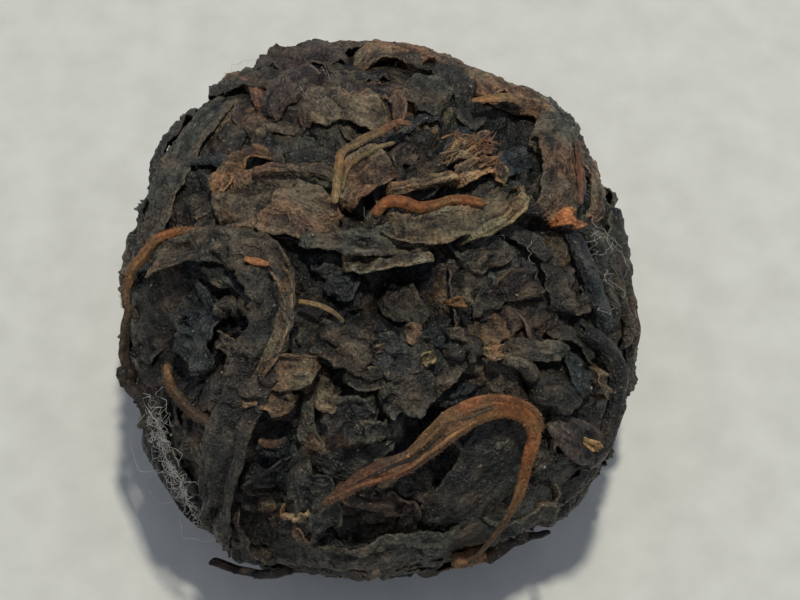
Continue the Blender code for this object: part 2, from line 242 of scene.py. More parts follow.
# %% Leaf colours
TINTS = {
    # The darkest black is painted shade, for the leaves low on the front and flanks where less light falls
    "soot": (0.0065, 0.0066, 0.0052),
    "black": (0.0112, 0.0114, 0.0090),
    "teal": (0.010, 0.014, 0.015),
    "grey": (0.036, 0.032, 0.023),
    "brown": (0.088, 0.053, 0.030),
    "umber": (0.062, 0.041, 0.025),
    "bark": (0.058, 0.042, 0.027),
    "dark_brown": (0.025, 0.018, 0.012),
    "tan": (0.150, 0.090, 0.045),
    "olive": (0.073, 0.050, 0.028),
    "pale_olive": (0.098, 0.078, 0.050),
    "moss": (0.130, 0.094, 0.044),
    "rust": (0.082, 0.040, 0.023),
    "plum": (0.028, 0.020, 0.017),
    "ochre": (0.200, 0.115, 0.044),
    # The palest speck colour, partly dust and partly painted glints
    "dust_and_glint": (0.210, 0.190, 0.155),
    "stalk_orange": (0.175, 0.069, 0.0215),
    "stalk_fawn": (0.275, 0.112, 0.043),
    "stalk_red": (0.120, 0.051, 0.034),
    "stalk_tan": (0.180, 0.080, 0.033),
    "stalk_brown": (0.120, 0.064, 0.034),
    "stalk_black": (0.016, 0.013, 0.010),
}
print(len(TINTS), "tints from", min(TINTS, key=TINTS.get), "to", max(TINTS, key=TINTS.get))

# %% [markdown]
# ## A leaf's relief
#
# A pressed leaf has a few large pleats with sharp crests, dark creases between them, fine furrows
# beside its veins, and crumples that cross them all. A noise value near zero marks a winding line,
# so one minus its size gives a sharp ridge there. Stretching the noise along the leaf turns those
# ridges into pleats and furrows. The ridge height is kept as a second attribute: the finish paints
# shade into the creases and a highlight on the crests from it, and the crests also rub paler.

# %% Kinds of relief
# In millimetres: how high the pleats, furrows and crumples are, and how far the edges curl up or the
# sides fold down. The raggedness is a share of the width.
STYLES = {
    "calm": {"pleat": 0.13, "furrow": 0.08, "crumple": 0.06, "curl": -0.10, "fold": 0.0, "ragged": 0.06},
    "smooth": {"pleat": 0.06, "furrow": 0.04, "crumple": 0.04, "curl": -0.10, "fold": 0.0, "ragged": 0.05},
    "pleated": {"pleat": 0.40, "furrow": 0.06, "crumple": 0.05, "curl": 0.0, "fold": 0.0, "ragged": 0.12},
    "furrowed": {"pleat": 0.26, "furrow": 0.12, "crumple": 0.10, "curl": 0.0, "fold": 0.0, "ragged": 0.14},
    "crumpled": {"pleat": 0.22, "furrow": 0.08, "crumple": 0.26, "curl": 0.05, "fold": 0.0, "ragged": 0.32},
    "curled": {"pleat": 0.16, "furrow": 0.08, "crumple": 0.16, "curl": 0.30, "fold": 0.0, "ragged": 0.22},
    "folded": {"pleat": 0.18, "furrow": 0.10, "crumple": 0.14, "curl": 0.0, "fold": 0.30, "ragged": 0.25},
    "pressed": {"pleat": 0.20, "furrow": 0.10, "crumple": 0.14, "curl": 0.12, "fold": 0.0, "ragged": 0.28},
}
print("kinds of relief:", *STYLES)

# %% [markdown]
# ## Working out the relief
#
# Each kind of line gets its own noise. The numbers beside along and across say how many of its
# waves go into a millimetre each way, so a small number along and a large one across gives a long
# narrow furrow. The seed moves each leaf to another place in the noise, so no two are alike.

# %% Working out the relief
# How narrow the ridges are, and how sharp at the crest
RIDGE_NARROWNESS, RIDGE_SHARPNESS = 2.6, 1.6


def sharp_ridge(spot):
    """1 on winding lines through space and 0 away from them."""
    return (1 - min(1.0, RIDGE_NARROWNESS * abs(noise.noise(spot)))) ** RIDGE_SHARPNESS


def leaf_relief(along, across, seed, style):
    """The height of a leaf's relief in millimetres, and how near a crest it is, from 0 to 1."""
    sway = 0.9 * noise.noise(Vector((along * 0.6, across * 0.6, seed * 9.7)))
    pleats = sharp_ridge(Vector((along * 0.22, (across + sway) * 0.8, seed * 3.1)))
    creases = sharp_ridge(Vector((along * 0.35 + sway, (across + sway) * 0.9, seed * 11.3)))
    furrows = sharp_ridge(Vector((along * 0.5, (across + 0.4 * sway) * 2.0, seed * 4.3)))
    crumples = sharp_ridge(Vector((along * 1.0 + sway, across * 1.3 - sway, seed * 5.3)))
    small = sharp_ridge(Vector((along * 2.4, across * 3.0 + sway, seed * 7.9)))
    grit = sharp_ridge(Vector((along * 4.5, across * 5.5, seed * 8.3)))
    swell = noise.noise(Vector((along * 0.45, across * 0.7, seed * 1.9)))
    height = style["pleat"] * (pleats - 0.9 * creases + 0.6 * swell)
    height += style["furrow"] * furrows + style["crumple"] * (crumples + 0.4 * small)
    height += 0.08 * small + 0.05 * grit
    crest = 0.6 * pleats + 0.3 * furrows + 0.4 * crumples + 0.25 * small + 0.2 * grit
    return height, min(1.0, max(0.0, crest - 0.6 * creases))


def wavy(seed, share, across):
    """A smooth random height from about -1 to 1 over a leaf, the same as in the CAD source."""
    return noise.noise(Vector((share * 3.1 + seed * 7.3, across * 1.3, seed * 3.7)))


sample = [leaf_relief(step / 10, 0, 1, STYLES["crumpled"])[0] for step in range(60)]
print("relief along a crumpled leaf in mm: from", round(min(sample), 2), "to", round(max(sample), 2))

# %% [markdown]
# ## Colour, outline and thickness of a leaf
#
# A leaf is a sheet with its own colour, which may change along it, an outline that narrows to the
# ends, and a thickness. The Solidify modifier would give the thickness too, but it throws long
# spikes where a crumple is sharp. So the whole sheet is extruded inwards along its normals, and
# every edge shows a real rim and casts a real shadow.

# %% Colour, outline and thickness of a leaf
LEAF_THICKNESS = 0.09 * MM


def add_layers(bm):
    """The three attributes that the finishes read: place along the leaf, colour, and ridge height,
    from which the leaf finish paints shade and highlight.
    """
    return (
        bm.verts.layers.float_vector.new("run"),
        bm.verts.layers.float_vector.new("tint"),
        bm.verts.layers.float.new("crest"),
    )


def around(values, share):
    """The two of these evenly spaced values around this share, and how far it is past the first."""
    place = min(share * (len(values) - 1), len(values) - 1.001)
    return values[int(place)], values[int(place) + 1], place - int(place)


def tint_along(names, share):
    """The colour at a share of the way along. names is one tint, or several in even steps."""
    colours = [Vector(TINTS[name]) for name in ((names, names) if isinstance(names, str) else names)]
    first, second, blend = around(colours, share)
    return first.lerp(second, blend)


def tapered(s, end_share):
    """The share of its full width that a leaf has at s, which runs from -1 at one end to 1."""
    return end_share + (1 - end_share) * (1 - abs(s) ** 2.6) ** 0.6


def thickened(bm):
    """A laid sheet given its thickness, by extruding all of it towards the lump's middle."""
    bm.normal_update()
    raised = bmesh.ops.extrude_face_region(bm, geom=bm.faces[:])["geom"]
    for vert in [part for part in raised if isinstance(part, bmesh.types.BMVert)]:
        inward = -vert.normal if vert.normal.dot(vert.co - LUMP_MIDDLE) > 0 else vert.normal
        vert.co += inward * LEAF_THICKNESS
        vert.co.z = max(vert.co.z, 0.0)
    bmesh.ops.recalc_face_normals(bm, faces=bm.faces)
    return bm


print("halfway to its end a leaf keeps", round(tapered(0.5, 0.3), 2), "of its width")

# %% [markdown]
# ## Making one leaf
#
# A leaf could be modelled by hand as a bent plane, but there are hundreds. So one function makes
# them all. The leaf starts as a fine grid. Its outline is torn unevenly, its edges curl, and its
# relief is added as it is laid on the route. The ends dip, because they are tucked under their
# neighbours.

# %% Making one leaf
LEAF_TUCK = 0.9 * MM
# The relief rises more than it sinks, so a leaf is lowered this far in millimetres to even it out
RELIEF_DROP = 0.12


def make_leaf(route, width, proud, seed, tint, style, grain, tuck=LEAF_TUCK, slant=(0, 0)):
    """One crumpled leaf of this width and height above the skin in millimetres, as a bmesh.

    grain is the size of its mesh cells. slant raises one end and one side of it, like a roof tile, and
    sinks the others. tint is one name, or several along the leaf."""
    half_length = route_length(route) / 2 / MM
    bm = bmesh.new()
    run, colour, crest = add_layers(bm)
    cells_along = max(6, round(2 * half_length * MM / grain))
    cells_across = max(4, round(width * MM / grain))
    bmesh.ops.create_grid(bm, x_segments=cells_along, y_segments=cells_across, size=1)
    for vert in bm.verts:
        s, t, _ = vert.co
        along, side = s * half_length, t * width / 2
        margin = Vector((along * 0.9, math.copysign(4.0, t), seed * 2.3))
        torn = 1 + style["ragged"] * (1.4 * noise.noise(margin) + 0.8 * noise.noise(margin * 2.9))
        across = side * tapered(s, 0.3) * torn
        height, ridge = leaf_relief(along, across, seed, style)
        edge = max(0.0, abs(t) - 0.55) / 0.45
        lift = proud + 0.28 * wavy(seed, s, t) + height - RELIEF_DROP
        lift += style["curl"] * edge * edge - style["fold"] * abs(t) + slant[0] * s + slant[1] * t
        torn_end = 1 - 0.12 * abs(noise.noise(Vector((side * 1.7, seed, math.copysign(3.0, s)))))
        vert.co = lay(route, (s * torn_end + 1) / 2, across * MM, lift * MM - tuck * abs(s) ** 6)
        vert[run] = (along, across, seed * 1.7)
        vert[colour] = tint_along(tint, (s + 1) / 2)
        # The crest value rises to 1 at the edges, so the rims come out pale, partly as drier leaf and partly
        # as a painted highlight
        vert[crest] = min(1.0, ridge + max(abs(t), abs(s)) ** 10)
    return thickened(bm)


trial = make_leaf(over_the_top, 2.0, 0.0, 0, "black", STYLES["calm"], 0.5 * MM)
print("a coarse trial leaf has", len(trial.faces), "faces")
trial.free()

# %% [markdown]
# ## Joining and finishing a piece
#
# Hundreds of separate objects would be slow to handle, so the leaves of one kind are joined in one
# piece. Each piece rides on the lump's body, the plain solid is hidden, and the piece takes its
# finish.

# %% Joining and finishing a piece
pieces = []


def join_into(whole, bm):
    """Adds a finished leaf or stalk to the bmesh of its kind."""
    mesh = bpy.data.meshes.new("one")
    bm.to_mesh(mesh)
    bm.free()
    whole.from_mesh(mesh)
    bpy.data.meshes.remove(mesh)


def finish_piece(name, whole, material):
    """The object of one kind, smooth shaded, riding on the lump in place of its plain solid."""
    for face in whole.faces:
        face.smooth = True
    mesh = bpy.data.meshes.new(name)
    whole.to_mesh(mesh)
    whole.free()
    mesh.materials.append(material)
    piece = bpy.data.objects.new(name, mesh)
    scene.collection.objects.link(piece)
    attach(piece, "root")
    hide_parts("pressed_tea")
    pieces.append(piece)
    mesh.calc_loop_triangles()
    print(f"{name}: {len(mesh.loop_triangles)} triangles")
    return piece


# %% [markdown]
# ## Building blocks of a finish
#
# A Blender material is a tree of nodes, and the same few turns come back in each: a noise, a change
# of range, a product, a mix of two colours. One short function for each keeps the finishes below as
# readable as a recipe.

# %% Building blocks of a finish
# Object coordinates are in metres, so noise scales below count waves per millimetre
PER_MILLIMETRE = (1000, 1000, 1000)


def new_finish(name):
    """A new material, its node tree and its shader."""
    material = bpy.data.materials.new(name)
    material.use_nodes = True
    return material, material.node_tree, material.node_tree.nodes["Principled BSDF"]


def node(tree, kind, **values):
    """A new shader node with these input values, or plain settings of the node itself."""
    made = tree.nodes.new(kind)
    for key, value in values.items():
        if hasattr(made, key):
            setattr(made, key, value)
        else:
            made.inputs[key.replace("_", " ")].default_value = value
    return made


def run_noise(tree, source, stretch, scale, detail=3.0):
    """Noise on a point attribute or coordinate, stretched by a different share along each axis."""
    mapping = node(tree, "ShaderNodeMapping", Scale=stretch)
    tree.links.new(source, mapping.inputs["Vector"])
    made = node(tree, "ShaderNodeTexNoise", Scale=scale, Detail=detail)
    tree.links.new(mapping.outputs["Vector"], made.inputs["Vector"])
    return made.outputs["Fac"]


def ranged(tree, source, low, high, to_low, to_high):
    """A value carried smoothly from one range to another."""
    made = node(tree, "ShaderNodeMapRange", From_Min=low, From_Max=high, To_Min=to_low, To_Max=to_high)
    tree.links.new(source, made.inputs["Value"])
    return made.outputs["Result"]


def multiplied(tree, first, second):
    """The product of two values."""
    made = node(tree, "ShaderNodeMath", operation="MULTIPLY")
    tree.links.new(first, made.inputs[0])
    tree.links.new(second, made.inputs[1])
    return made.outputs["Value"]


def scaled_colour(tree, colour, amount):
    """A colour made brighter or darker by a value."""
    made = node(tree, "ShaderNodeVectorMath", operation="SCALE")
    tree.links.new(colour, made.inputs[0])
    tree.links.new(amount, made.inputs["Scale"])
    return made.outputs["Vector"]


def mixed_colour(tree, factor, first, second, blend="MIX"):
    """Two colours mixed by a factor; each may be a socket or a plain colour."""
    made = node(tree, "ShaderNodeMix", data_type="RGBA", blend_type=blend)
    if isinstance(factor, float):
        made.inputs[0].default_value = factor
    else:
        tree.links.new(factor, made.inputs[0])
    for socket, colour in ((made.inputs[6], first), (made.inputs[7], second)):
        if isinstance(colour, tuple):
            socket.default_value = colour
        else:
            tree.links.new(colour, socket)
    return made.outputs[2]


print("one unit of object coordinates holds", PER_MILLIMETRE[0], "millimetres")

# %% [markdown]
# ## The leaf finish
#
# Each leaf's own colour is broken up by noise that is stretched along the leaf, which reads as
# fibres, and by rounder blotches, lumps and grain. A slow drift over the whole lump turns it cooler
# here and warmer there. Creases get painted shade and crests a painted highlight, and the crests
# go paler and warmer too, partly as rubbed wear of the dry surface and partly as more painted
# highlight. A few tiny pale flecks sit on top, partly dust and partly painted glints. The fibres,
# the lumps and the grain also drive the bump. The surface is dry but a little waxy, so its
# roughness changes from place to place. An image texture could carry all this, but noise has no
# seams and stays sharp from any distance.

# %% The leaf finish
COOL_DRIFT, WARM_DRIFT = (0.88, 1.06, 1.02, 1), (1.18, 1.0, 0.82, 1)
DUST_AND_GLINT_FLECK = (0.20, 0.145, 0.085, 1)
# How far the creases are darkened and the crests lightened: painted shade and painted highlight
PAINTED_CREASE_SHADE, PAINTED_CREST_HIGHLIGHT = 0.67, 0.95
# How far each noise darkens and lightens the colour, as a share
BLOTCH_SPREAD, FIBRE_SPREAD, LUMP_SPREAD, GRAIN_SPREAD = 0.45, 0.42, 0.38, 0.34


def leaf_finish(name, pale, rub_and_highlight, contrast, stretch, roughness, gloss, bumps):
    """Dry pressed leaf whose colour comes from the leaf's own tint.

    pale is the colour of the paler crests, partly rubbed wear and partly painted highlight; the next
    argument says how strong that is. stretch is the fibres' shape, roughness goes from its first
    value to its second as the grain rises, and bumps are depths in millimetres."""
    material, tree, shader = new_finish(name)
    shader.inputs["Specular IOR Level"].default_value = gloss
    run = node(tree, "ShaderNodeAttribute", attribute_name="run").outputs["Vector"]
    tint = node(tree, "ShaderNodeAttribute", attribute_name="tint").outputs["Vector"]
    crest = node(tree, "ShaderNodeAttribute", attribute_name="crest").outputs["Fac"]
    place = node(tree, "ShaderNodeTexCoord").outputs["Object"]

    fibres = run_noise(tree, run, stretch, 1.8, 5.0)
    drift = run_noise(tree, place, PER_MILLIMETRE, 0.45)
    blotches = run_noise(tree, place, PER_MILLIMETRE, 1.1, 4.0)
    lumps = run_noise(tree, place, PER_MILLIMETRE, 3.5, 4.0)
    grain = run_noise(tree, place, PER_MILLIMETRE, 7.0)

    # The crest value paints shade into the creases and a highlight on the crests
    darkest, lightest = 1 - PAINTED_CREASE_SHADE * contrast, 1 + PAINTED_CREST_HIGHLIGHT * contrast
    shade = ranged(tree, crest, 0.0, 0.75, darkest, lightest)
    spreads = (BLOTCH_SPREAD, FIBRE_SPREAD, LUMP_SPREAD, GRAIN_SPREAD)
    for source, spread in zip((blotches, fibres, lumps, grain), spreads):
        low, high = 1 - spread * contrast, 1 + spread * contrast
        shade = multiplied(tree, shade, ranged(tree, source, 0.32, 0.68, low, high))
    base = scaled_colour(tree, tint, shade)
    hue = mixed_colour(tree, ranged(tree, drift, 0.42, 0.58, 0.0, 1.0), COOL_DRIFT, WARM_DRIFT)
    base = mixed_colour(tree, 1.0, base, hue, "MULTIPLY")
    # The crests also go paler towards pale: partly rubbed wear and partly painted highlight
    worn_and_highlit = multiplied(tree, crest, ranged(tree, blotches, 0.40, 0.62, 0.1, 1.0))
    worn_and_highlit = multiplied(tree, worn_and_highlit, ranged(tree, lumps, 0.35, 0.6, 0.2, rub_and_highlight))
    colour = mixed_colour(tree, worn_and_highlit, base, pale)
    # Pale flecks where the grain is highest: partly dust and partly painted glints
    fleck = ranged(tree, grain, 0.64, 0.70, 0.0, 0.6)
    colour = mixed_colour(tree, fleck, colour, DUST_AND_GLINT_FLECK)
    tree.links.new(colour, shader.inputs["Base Color"])
    tree.links.new(ranged(tree, grain, 0.35, 0.65, *roughness), shader.inputs["Roughness"])

    relief = None
    for source, depth in zip((fibres, lumps, grain), bumps):
        step = node(tree, "ShaderNodeBump", Strength=1.0, Distance=depth * MM)
        tree.links.new(source, step.inputs["Height"])
        if relief:
            tree.links.new(relief, step.inputs["Normal"])
        relief = step.outputs["Normal"]
    tree.links.new(relief, shader.inputs["Normal"])
    return material


ALONG_THE_LEAF = (0.6, 4.0, 1.0)
leaf_material = leaf_finish(
    "pressed_leaf",
    pale=(0.150, 0.108, 0.064, 1),
    rub_and_highlight=0.45,
    contrast=1.0,
    stretch=ALONG_THE_LEAF,
    roughness=(0.62, 0.22),
    gloss=0.36,
    bumps=(0.08, 0.12, 0.12),
)
print("the leaf finish has", len(leaf_material.node_tree.nodes), "nodes")

# %% [markdown]
# ## Hollows
#
# The photograph shows deep black hollows between the leaves. Cutting them out of the mesh would
# leave hard edges, so each is a smooth dent: a bell curve with a width and a depth, at its own
# place on the lump. A large hollow is made of two or three of them.

# %% Hollows
# Side and over in degrees, then radius and depth in millimetres
HOLLOWS = (
    (-46, 52, 2.6, 1.5),
    (7, 63, 2.0, 1.8),
    (-12, 59, 1.5, 1.0),
    (-17, 71, 1.3, 0.7),
    (31, 121, 1.6, 1.1),
    (44, 84, 1.2, 0.9),
    (38, 42, 1.1, 0.8),
    (10, 28, 1.4, 0.8),
    (-12, 102, 1.3, 0.6),
    (25, 123, 1.6, 0.9),
    (38, 129, 1.4, 0.8),
    (48, 94, 0.8, 0.8),
    (3, 76, 0.9, 0.7),
    (12, 30, 0.9, 0.7),
    (-21, 30, 1.0, 0.6),
    (-59, 44, 1.2, 0.7),
    (36, 125, 1.5, 0.6),
    (14, 33, 0.7, 0.7),
    (5, 25, 0.8, 0.9),
    (-19, 14, 1.6, 0.6),
    (40, 28, 0.9, 0.7),
)


def hollow_depth(way):
    """How deep the hollows between the leaves are in this direction, in millimetres."""
    depth = 0.0
    for side, over, radius, deepest in HOLLOWS:
        apart = (way - direction(side, over)).length * MEAN_RADIUS / MM
        depth += deepest * math.exp(-((apart / radius) ** 2))
    return depth


print(len(HOLLOWS), "dents, the deepest", max(deepest for *_, deepest in HOLLOWS), "mm")

# %% [markdown]
# ## Flakes
#
# The mass of crushed leaf looks like bits that overlap. The Voronoi cells of a warped space do the
# same: each cell is one flake, tilted its own way, with its own number to choose a colour by.

# %% Flakes
FLAKE_TINTS = (
    "black", "black", "teal", "dark_brown", "black", "grey", "plum", "black", "dark_brown", "olive"
)


def flake(spot, size, tilt):
    """The height of overlapping flakes about this many millimetres wide, and the flake's own number."""
    distances, points = noise.voronoi(Vector((spot.x, spot.y, spot.z * 1.7)) / size)
    middle = points[0]
    lean = noise.cell_vector(middle * 7.3) - Vector((0.5, 0.5, 0.5))
    across = (Vector((spot.x, spot.y, spot.z * 1.7)) / size - middle).dot(lean)
    crack = min(1.0, (distances[1] - distances[0]) * 4)
    return tilt * (across * 1.6 + 0.5 * lean.x) - 0.4 * tilt * (1 - crack), noise.cell(middle * 3.7)


print("each flake takes one of", len(FLAKE_TINTS), "tints,", len(set(FLAKE_TINTS)), "of them different")

# %% [markdown]
# ## The skin of the mass below
#
# Under the leaves that show lies the dense mass, seen through the gaps. Its skin follows the same
# folds, creases and hollows as the CAD core. Large and little flakes lie on it, and sharp crumples
# are added last. It is held below the placed leaves, and less deep near the outline that the
# photograph shows, so that the lump keeps its size.

# %% The skin of the mass below
FRONT_VIEW = Vector((0, -0.5, 0.866))
CORE_INSET = 0.65
# The mass stays at least this far below the outer form, in millimetres, so that the leaves cover it
CORE_TOP = -0.40
FOLD_HEIGHT, CREASE_DEPTH, SWELL_HEIGHT = 1.3, 0.28, 0.35
WARP_SHIFTS = (Vector((9, -2, -8)), Vector((0, 0, 0)), Vector((-3, 5, -3)))


def core_skin(way):
    """The mass's height over the outer form in millimetres, how near a crest it is, held at nothing
    in the hollows as painted shade, and its flake.
    """
    spot = way * (MEAN_RADIUS / MM)
    warp = Vector([noise.noise(spot * 0.25 + shift) for shift in WARP_SHIFTS]) * 1.2
    folds = abs(noise.noise((spot + warp) * 0.42))
    lift = folds * FOLD_HEIGHT - CREASE_DEPTH + noise.noise(spot * 0.2) * SWELL_HEIGHT
    twist = Vector([noise.noise(spot * 0.9 + shift) for shift in WARP_SHIFTS]) * 0.9
    big, number = flake(spot + twist, 2.3, 0.5)
    little, _ = flake(spot + twist * 0.6, 1.0, 0.22)
    crumples = sharp_ridge((spot + warp + twist * 0.5) * 0.9)
    small = sharp_ridge((spot + twist * 0.4) * 2.1)
    lift += big + little + 0.26 * crumples + 0.13 * small - 0.1
    hollow = hollow_depth(way)
    outline = min(max(4 * way.z, 0.0), 1.0) * min(max(3 * way.dot(FRONT_VIEW) - 0.9, 0.0), 1.0)
    deepest = 0.55 + 0.6 * outline
    lift = min(max(lift - CORE_INSET, -deepest), CORE_TOP) - hollow
    share = min(max((way.z + 0.9) / 0.15, 0.0), 1.0)
    # How near a crest the mass is, which the finish turns into rubbed wear and painted highlight
    rub_and_highlight = min(1.0, 0.6 * crumples + 0.4 * small + 0.4 * max(0.0, big))
    # The crest value drops to nothing in the hollows, so the finish paints shade into them
    return share * lift, rub_and_highlight * max(0.0, 1 - hollow), number


print("the mass lies", round(-core_skin(Vector((0, 0, 1)))[0], 2), "mm below the outer form at the top")

# %% [markdown]
# ## The mesh of the mass below
#
# A ball made of rings has crowded poles. A cube cut into fine squares and pushed out to the form has
# even squares all over, so it takes the fine relief equally well everywhere.

# %% The mesh of the mass below
CORE_CUTS = 126

core = bmesh.new()
run, colour, crest = add_layers(core)
bmesh.ops.create_cube(core, size=2)
bmesh.ops.subdivide_edges(core, edges=core.edges[:], cuts=CORE_CUTS, use_grid_fill=True)
for vert in core.verts:
    way = vert.co.normalized()
    lift, ridge, number = core_skin(way)
    spot = way * (MEAN_RADIUS / MM)
    turned = number * 40
    vert.co = on_skin(way, lift * MM)
    vert[run] = (
        spot.x * math.cos(turned) + spot.z * math.sin(turned),
        spot.y + spot.z * math.cos(turned) - spot.x * math.sin(turned),
        turned,
    )
    vert[colour] = TINTS[FLAKE_TINTS[int(number * 997) % len(FLAKE_TINTS)]]
    vert[crest] = ridge
finish_piece("tea_mass", core, leaf_material)

# %% [markdown]
# ## The leaves that show
#
# Each leaf that the photograph shows has its own facts. A table keeps them apart from the code that
# makes a leaf, so one leaf can be moved or recoloured without touching the rest. A leaf's place in
# the table is the seed of its crumples, so a new leaf goes at the end.

# %% The leaves that show
# The route as side and over in degrees, the width and the height above the skin in millimetres, the
# tint, or several along the leaf, and the kind of relief
BROAD_LEAVES = {
    "left_shoulder": (((-32, 146), (-46, 133), (-57, 114), (-65, 90)), 2.7, -0.1, "grey", "calm"),
    "back_fold": (((-30, 150), (-19, 148), (-6, 148)), 1.9, 0.1, "plum", "pleated"),
    "back_top": (((-6, 145), (5, 147), (14, 146), (24, 141)), 2.0, 0.1, "brown", "furrowed"),
    "back_right": (((26, 136), (34, 142), (43, 146)), 1.4, 0.2, "brown", "pleated"),
    "right_rim": (((40, 150), (49, 143), (57, 127), (61, 106)), 1.6, 0.1, "brown", "smooth"),
    "rust_crumple": (((-20, 123), (-8, 124), (5, 120)), 2.0, 0.25, ("umber", "brown"), "folded"),
    "back_dark": (((6, 131), (12, 130), (18, 128)), 2.3, 0.1, "grey", "furrowed"),
    "tan_edge": (((-41, 98), (-36, 107), (-27, 112)), 1.1, 0.5, "tan", "pleated"),
    "big_brown": (((-43, 92), (-28, 92), (-10, 84)), 2.7, 0.4, ("brown", "umber"), "pleated"),
    "tent_face": (((-8, 89), (-3, 98), (5, 104)), 1.8, 0.6, "brown", "pleated"),
    "olive_plate": (((2, 83), (12, 81), (27, 86), (35, 98)), 1.3, 0.5, "olive", "curled"),
    "olive_frill": (
        ((22, 78), (30, 83), (35, 91), (36, 99)), 0.5, 0.75, ("olive", "moss", "olive"), "crumpled"
    ),
    "orange_bits": (((18, 62), (22, 62)), 0.35, 0.3, "stalk_orange", "crumpled"),
    "ochre_patch": (((44, 23), (47, 19)), 0.4, 0.3, "ochre", "crumpled"),
    "red_bit": (((-15, 15), (-12, 10)), 0.4, 0.3, "rust", "crumpled"),
    "pale_leaf": (((22, 99), (28, 103), (35, 102)), 1.3, 0.4, "tan", "crumpled"),
    "frayed_base": (((19, 107), (25, 110), (30, 110)), 1.2, 0.3, ("tan", "umber"), "crumpled"),
    "tongue": (((-9, 72), (2, 73.5), (16, 75)), 1.1, 0.35, "pale_olive", "furrowed"),
    "grey_ridge": (((-20, 81), (-7, 78), (9, 78)), 1.4, 0.3, "grey", "crumpled"),
    "slate_leaf": (((32, 107), (37, 114), (42, 119)), 1.4, -0.4, "teal", "smooth"),
    "rust_leaf": (((42, 130), (46, 120), (48, 108), (46, 94)), 2.2, 0.3, "umber", "smooth"),
    # The leaves low on the front and flanks take the darkest black tint, which is painted shade
    "outer_right": (((72, 48), (72, 20), (67, 2), (59, -11)), 1.6, -0.2, "soot", "calm"),
    "lower_right": (((37, -6), (49, -4), (60, 4)), 2.2, -0.2, "soot", "calm"),
    "grey_fold": (((24, 72), (29, 76), (33, 82)), 1.5, 0.3, "grey", "folded"),
    "mauve_lumps": (((30, 64), (35, 67), (41, 68)), 1.4, 0.1, "dark_brown", "crumpled"),
    "right_crumple": (((44, 75), (44, 67), (43, 59)), 1.6, 0.2, "black", "crumpled"),
    "light_wrinkle": (((31, 51), (38, 49), (45, 50)), 0.9, 0.2, "grey", "folded"),
    "plum_fold": (((39, 29), (45, 20), (50, 9)), 1.8, 0.1, "plum", "smooth"),
    "blade": (((31, 34), (23, 21), (10, 7)), 3.6, -0.25, "black", "smooth"),
    "bottom_leaf": (((-11, 4), (-1, 6), (8, 7), (17, 4)), 2.4, 0.3, "grey", "furrowed"),
    "pale_edged": (((22, 8), (31, 8), (39, 6)), 1.3, 0.3, "grey", "curled"),
    "band_edge": (
        ((-26, 73), (-20.5, 67), (-19.5, 57), (-22, 48), (-26, 40)), 0.6, 0.85, "olive", "furrowed"
    ),
    "olive_flap": (((-23, 46), (-18, 47), (-12, 48)), 1.3, 0.5, "olive", "curled"),
    "mid_crumple": (((-14, 54), (-7, 52), (1, 51)), 1.7, 0.2, "dark_brown", "crumpled"),
    "low_crumple": (((-11, 37), (-5, 38), (1, 39)), 1.7, 0.2, "black", "crumpled"),
    # These low front leaves take the darkest black tint, which is painted shade
    "lower_left": (((-40, -2), (-31, -14), (-20, -14)), 2.2, 0.05, "soot", "calm"),
    "low_fold": (((-28, 12), (-26, 5), (-22, -4)), 1.7, 0.3, "soot", "curled"),
    "left_flank": (((-56, 20), (-48, 8), (-40, -4)), 2.2, -0.25, "soot", "calm"),
    "rust_chip": (((47, 91), (52, 95)), 0.9, 0.35, ("stalk_orange", "stalk_fawn", "rust"), "crumpled"),
    "pale_knob": (((24.5, 50), (28.5, 50)), 0.7, 0.35, "tan", "crumpled"),
    "teal_leaf": (((45, 48), (45, 41), (48, 33)), 1.0, 0.1, "teal", "smooth"),
    "ragged_bit": (((50, 42), (50, 37), (51, 31)), 0.55, 0.3, "olive", "crumpled"),
    "mid_dark": (((16, 49), (21, 51), (25, 49)), 1.0, 0.2, "black", "folded"),
    "hollow_leaf": (((-52, 68), (-46, 59), (-45, 48)), 2.3, -0.9, "teal", "crumpled"),
    "hollow_wrinkle": (((-52, 51), (-44, 49), (-39, 42)), 1.3, -0.4, "teal", "furrowed"),
    "olive_lumps": (((-27, 44), (-22, 42), (-16, 40)), 1.3, 0.4, "olive", "crumpled"),
    "tan_chip": (((-18, 16), (-11, 18)), 0.5, 0.4, "tan", "smooth"),
    "low_centre": (((-15, 27), (-11, 20), (-9, 13)), 1.8, 0.0, "black", "crumpled"),
    "deep_centre": (((2, 65), (9, 61), (15, 55)), 1.9, -1.5, "black", "crumpled"),
    "mid_right": (((-1, 52), (6, 50), (14, 52)), 1.6, 0.3, ("teal", "black"), "crumpled"),
    "low_right": (((1, 40), (7, 42), (14, 44)), 1.6, 0.25, ("grey", "black"), "crumpled"),
    "mid_patch": (((-7, 46), (-1, 45), (4, 47)), 0.9, 0.4, ("grey", "olive"), "crumpled"),
    "low_patch": (((-3, 35), (3, 36)), 0.9, 0.35, ("olive", "grey"), "crumpled"),
    "rust_fold_end": (((1, 126), (5, 123), (6, 117)), 0.6, 0.5, ("brown", "rust"), "crumpled"),
    "pink_knob": (((7, 55), (11, 54)), 0.8, 0.35, "stalk_brown", "crumpled"),
    "rust_flecks": (((0, 51), (3, 52)), 0.25, 0.45, "rust", "crumpled"),
    "moss_chip": (((10, 49), (14, 50)), 0.45, 0.45, "moss", "crumpled"),
    "slate_bit": (((17, 55), (21, 54)), 0.5, 0.3, "grey", "crumpled"),
    "ribbed_chip": (((-12, 42), (-9, 41), (-7, 41)), 0.8, 0.45, ("olive", "brown"), "crumpled"),
}
print(len(BROAD_LEAVES), "leaves, the widest", max(width for _, width, *_ in BROAD_LEAVES.values()), "mm")

# %% [markdown]
# ## The long band
#
# The longest leaf arches over the left hollow and runs down the front. It is made as the other
# leaves are, but its route needs more points, and its colour goes from brown through black to the
# darkest black at its lower front end, which is painted shade.

